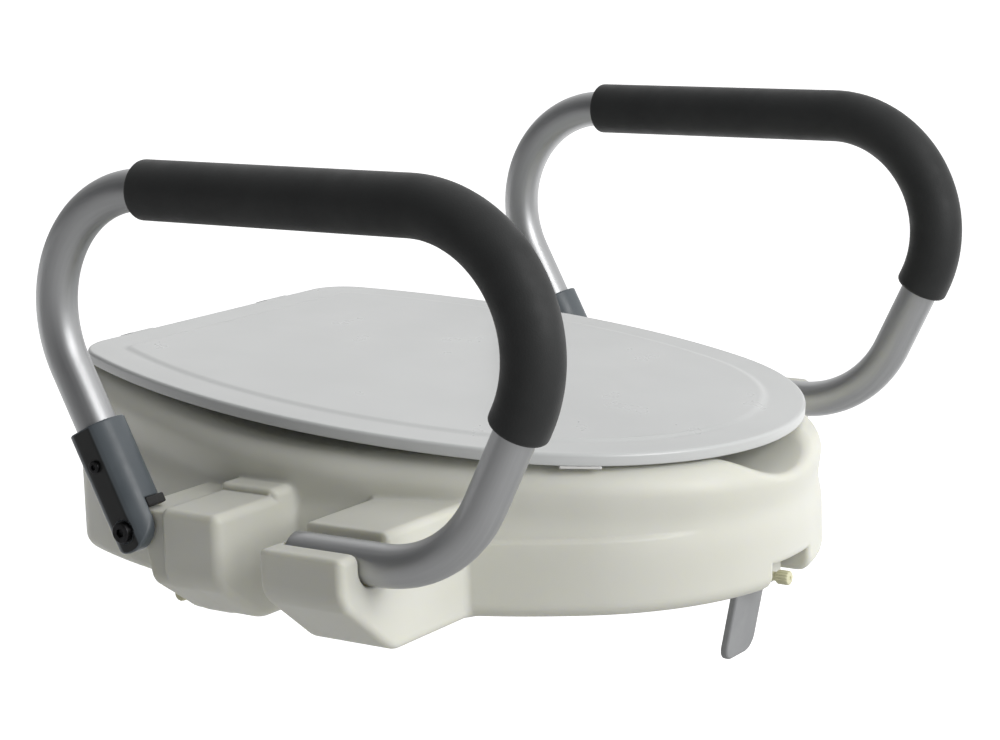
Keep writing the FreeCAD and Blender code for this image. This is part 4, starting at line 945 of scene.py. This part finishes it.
def bracket_distance(x, y, z):
    """The front bracket, with +Y outwards from the seat."""
    b = BRACKET
    lower = np.clip(-z - b["rise"], 0.0, None)
    run = b["drop"] * math.tan(b["lean"]) / (b["drop"] - b["rise"])
    middle = -b["thick"] / 2.0 - run * lower
    plate = np.abs(y - middle) / np.where(lower > 0.0, math.hypot(1.0, run), 1.0) - b["thick"] / 2.0
    outline = both(np.abs(x) - b["half"], -b["drop"] - z, 10.0)
    solid = both(both(plate, outline, 1.4), z - b["rise"], 1.0)
    boss = both(np.abs(x) - b["boss"], np.maximum(-b["boss"] - z, z - b["rise"]), 2.5)
    boss = both(boss, np.maximum(-b["depth"] - y, y + b["thick"] / 2.0), 1.2)
    solid = either(solid, boss, 2.0)
    return without(solid, np.hypot(x, z) - 3.05, 0.4)


def make_front_clamp():
    spot = np.array((0.0, CLAMP["front_y"], CLAMP["front_z"]))
    flip = np.array((-1.0, -1.0, 1.0))
    b = BRACKET
    low, high = (-b["half"], -16.0, -b["drop"]), (b["half"], 0.0, b["rise"])
    points, faces, normals = skin(bracket_distance, low, high, 1.0)
    piece = make_piece("bracket", points * flip + spot, faces, BRACKET_MATERIAL, "rim_bracket",
                       normals * flip)
    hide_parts("rim_bracket")
    points, faces = clamp_screw(-16.0, 6.2)
    placed = aimed(points, (0.0, -1.0, 0.0), spot)
    piece = make_piece("clamp_screw_front", placed, faces, NYLON_MATERIAL, "rim_screw", sharp=45.0)
    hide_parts("rim_screw")


def make_side_clamp(label, side):
    spot = np.array((side * CLAMP["side_x"], CLAMP["side_y"], CLAMP["side_z"]))
    axis = (side, 0.0, 0.0)
    points, faces = clamp_screw(-4.0)
    piece = make_piece(f"clamp_screw_{label}", aimed(points, axis, spot), faces, NYLON_MATERIAL,
                       f"side_screw_{label}", sharp=45.0)
    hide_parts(f"side_screw_{label}")
    cup = [(5.0, -8.0), (5.7, -7.8), (6.0, -7.3), (6.0, -5.6), (5.6, -5.2), (5.6, -4.6), (6.0, -4.2)]
    cup += [(6.0, -0.7), (5.8, -0.2), (5.3, 0.0), (3.1, 0.0), (3.1, -4.05)]
    points, faces = turned(cup, 48)
    piece = make_piece(f"foot_cup_{label}", aimed(points, axis, spot), faces, RUBBER,
                       f"side_foot_{label}", sharp=45.0)
    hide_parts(f"side_foot_{label}")


def make_pads():
    """Ribbed non-slip pads in the underside."""
    def distance(x, y, z):
        ribs = 0.25 * np.cos(2.0 * math.pi * x / 4.0) * (1.0 - fade(z, -0.6, 0.0))
        return rounded_box(x, y, z, PAD_HALF, 0.7) + 0.25 + ribs

    points, faces, normals = skin(distance, -np.array(PAD_HALF), PAD_HALF, 0.8)
    number = 0
    for pad_x, pad_y in PADS:
        for side in (1.0, -1.0):
            number += 1
            place = np.array((side * pad_x, pad_y, 0.5))
            piece = make_piece(f"grip_pad_{number}", points + place, faces, PAD_RUBBER, "seat",
                               normals)
            if number == 1:
                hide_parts("non_slip_pads")


make_shell()
make_lid_panel()
make_lid_lugs()
make_bumpers()
for label, side in SIDES:
    make_armrest(label, side)
    make_knuckle(label, side)
    make_side_clamp(label, side)
make_front_clamp()
make_pads()


# ---------------------------------------------------------------- floor, light and camera
FLOOR_Z = -0.45


# brightness of the studio from the user's right (0) to the user's left (1)
WORLD_STOPS = ((0.05, (0.09, 0.091, 0.095)), (0.28, (0.18, 0.182, 0.185)), (0.50, (0.38, 0.38, 0.38)),
               (0.63, (0.66, 0.66, 0.66)), (0.76, (1.02, 1.02, 1.02)))


def make_floor():
    mesh = bpy.data.meshes.new("floor")
    half = 30.0
    corners = [(-half, -half, FLOOR_Z), (half, -half, FLOOR_Z), (half, half, FLOOR_Z), (-half, half, FLOOR_Z)]
    mesh.from_pydata(corners, [], [(0, 1, 2, 3)])
    material, tree, shader = new_material("floor", 0.9, Emission_Color=(1.0, 1.0, 1.0, 1.0))
    where = coordinates(tree)
    lean = tree.nodes.new("ShaderNodeVectorMath")
    lean.operation = "DOT_PRODUCT"
    lean.inputs[1].default_value = (0.83, 0.56, 0.0)
    tree.links.new(where, lean.inputs[0])
    sweep_up = spread(tree, lean.outputs["Value"], 0.0, 1.0, 0.30, 0.85)
    tree.links.new(ramp(tree, sweep_up, ((0.0, (0.60, 0.60, 0.60)), (1.0, (0.94, 0.94, 0.94)))),
                   shader.inputs["Base Color"])
    tree.links.new(spread(tree, sweep_up, 0.0, 0.6, 0.0, 1.0), shader.inputs["Emission Strength"])
    mesh.materials.append(material)
    floor = bpy.data.objects.new("floor", mesh)
    bpy.context.scene.collection.objects.link(floor)


def add_softbox(name, place, aim, size, power, colour=(1.0, 1.0, 1.0)):
    light = bpy.data.lights.new(name, "AREA")
    light.shape = "RECTANGLE"
    light.size, light.size_y = size
    light.energy = power
    light.color = colour
    lamp = bpy.data.objects.new(name, light)
    lamp.location = place
    lamp.rotation_euler = (Vector(aim) - Vector(place)).to_track_quat("-Z", "Y").to_euler()
    bpy.context.scene.collection.objects.link(lamp)


def make_lights():
    """A white studio that is darker on the user's right, and a softbox in front and above."""
    world = bpy.data.worlds.new("studio")
    bpy.context.scene.world = world
    world.use_nodes = True
    tree = world.node_tree
    background = tree.nodes["Background"]
    way = tree.nodes.new("ShaderNodeTexCoord").outputs["Generated"]
    lean = tree.nodes.new("ShaderNodeVectorMath")
    lean.operation = "DOT_PRODUCT"
    lean.inputs[1].default_value = (0.92, -0.30, 0.26)
    tree.links.new(way, lean.inputs[0])
    shade = ramp(tree, spread(tree, lean.outputs["Value"], 0.0, 1.0, -1.0, 1.0), WORLD_STOPS)
    tree.links.new(shade, background.inputs["Color"])
    background.inputs["Strength"].default_value = 1.0
    add_softbox("key", (-0.3, -2.7, 1.4), (0.0, 0.0, 0.1), (1.4, 1.4), 54.0)


def make_camera():
    """The photograph's view: level with the armrests, in front of the user's right side."""
    yaw, lift, roll = math.radians(34.10), math.radians(11.05), math.radians(-1.69)
    back = Vector((-math.cos(yaw) * math.cos(lift), -math.sin(yaw) * math.cos(lift), math.sin(lift)))
    right = Vector((math.sin(yaw), -math.cos(yaw), 0.0))
    up = back.cross(right)
    turned_right = right * math.cos(roll) + up * math.sin(roll)
    turned_up = up * math.cos(roll) - right * math.sin(roll)
    camera = bpy.data.cameras.new("camera")
    camera.lens = 93.12
    camera.sensor_width = 36.0
    eye = bpy.data.objects.new("camera", camera)
    turn = Matrix((turned_right, turned_up, back)).transposed()
    target = Vector((0.0, 0.0, 0.117))
    eye.matrix_world = Matrix.Translation(target + back * 1.7191) @ turn.to_4x4()
    bpy.context.scene.collection.objects.link(eye)
    bpy.context.scene.camera = eye


make_floor()
make_lights()
make_camera()
bpy.context.scene.view_settings.view_transform = "Standard"
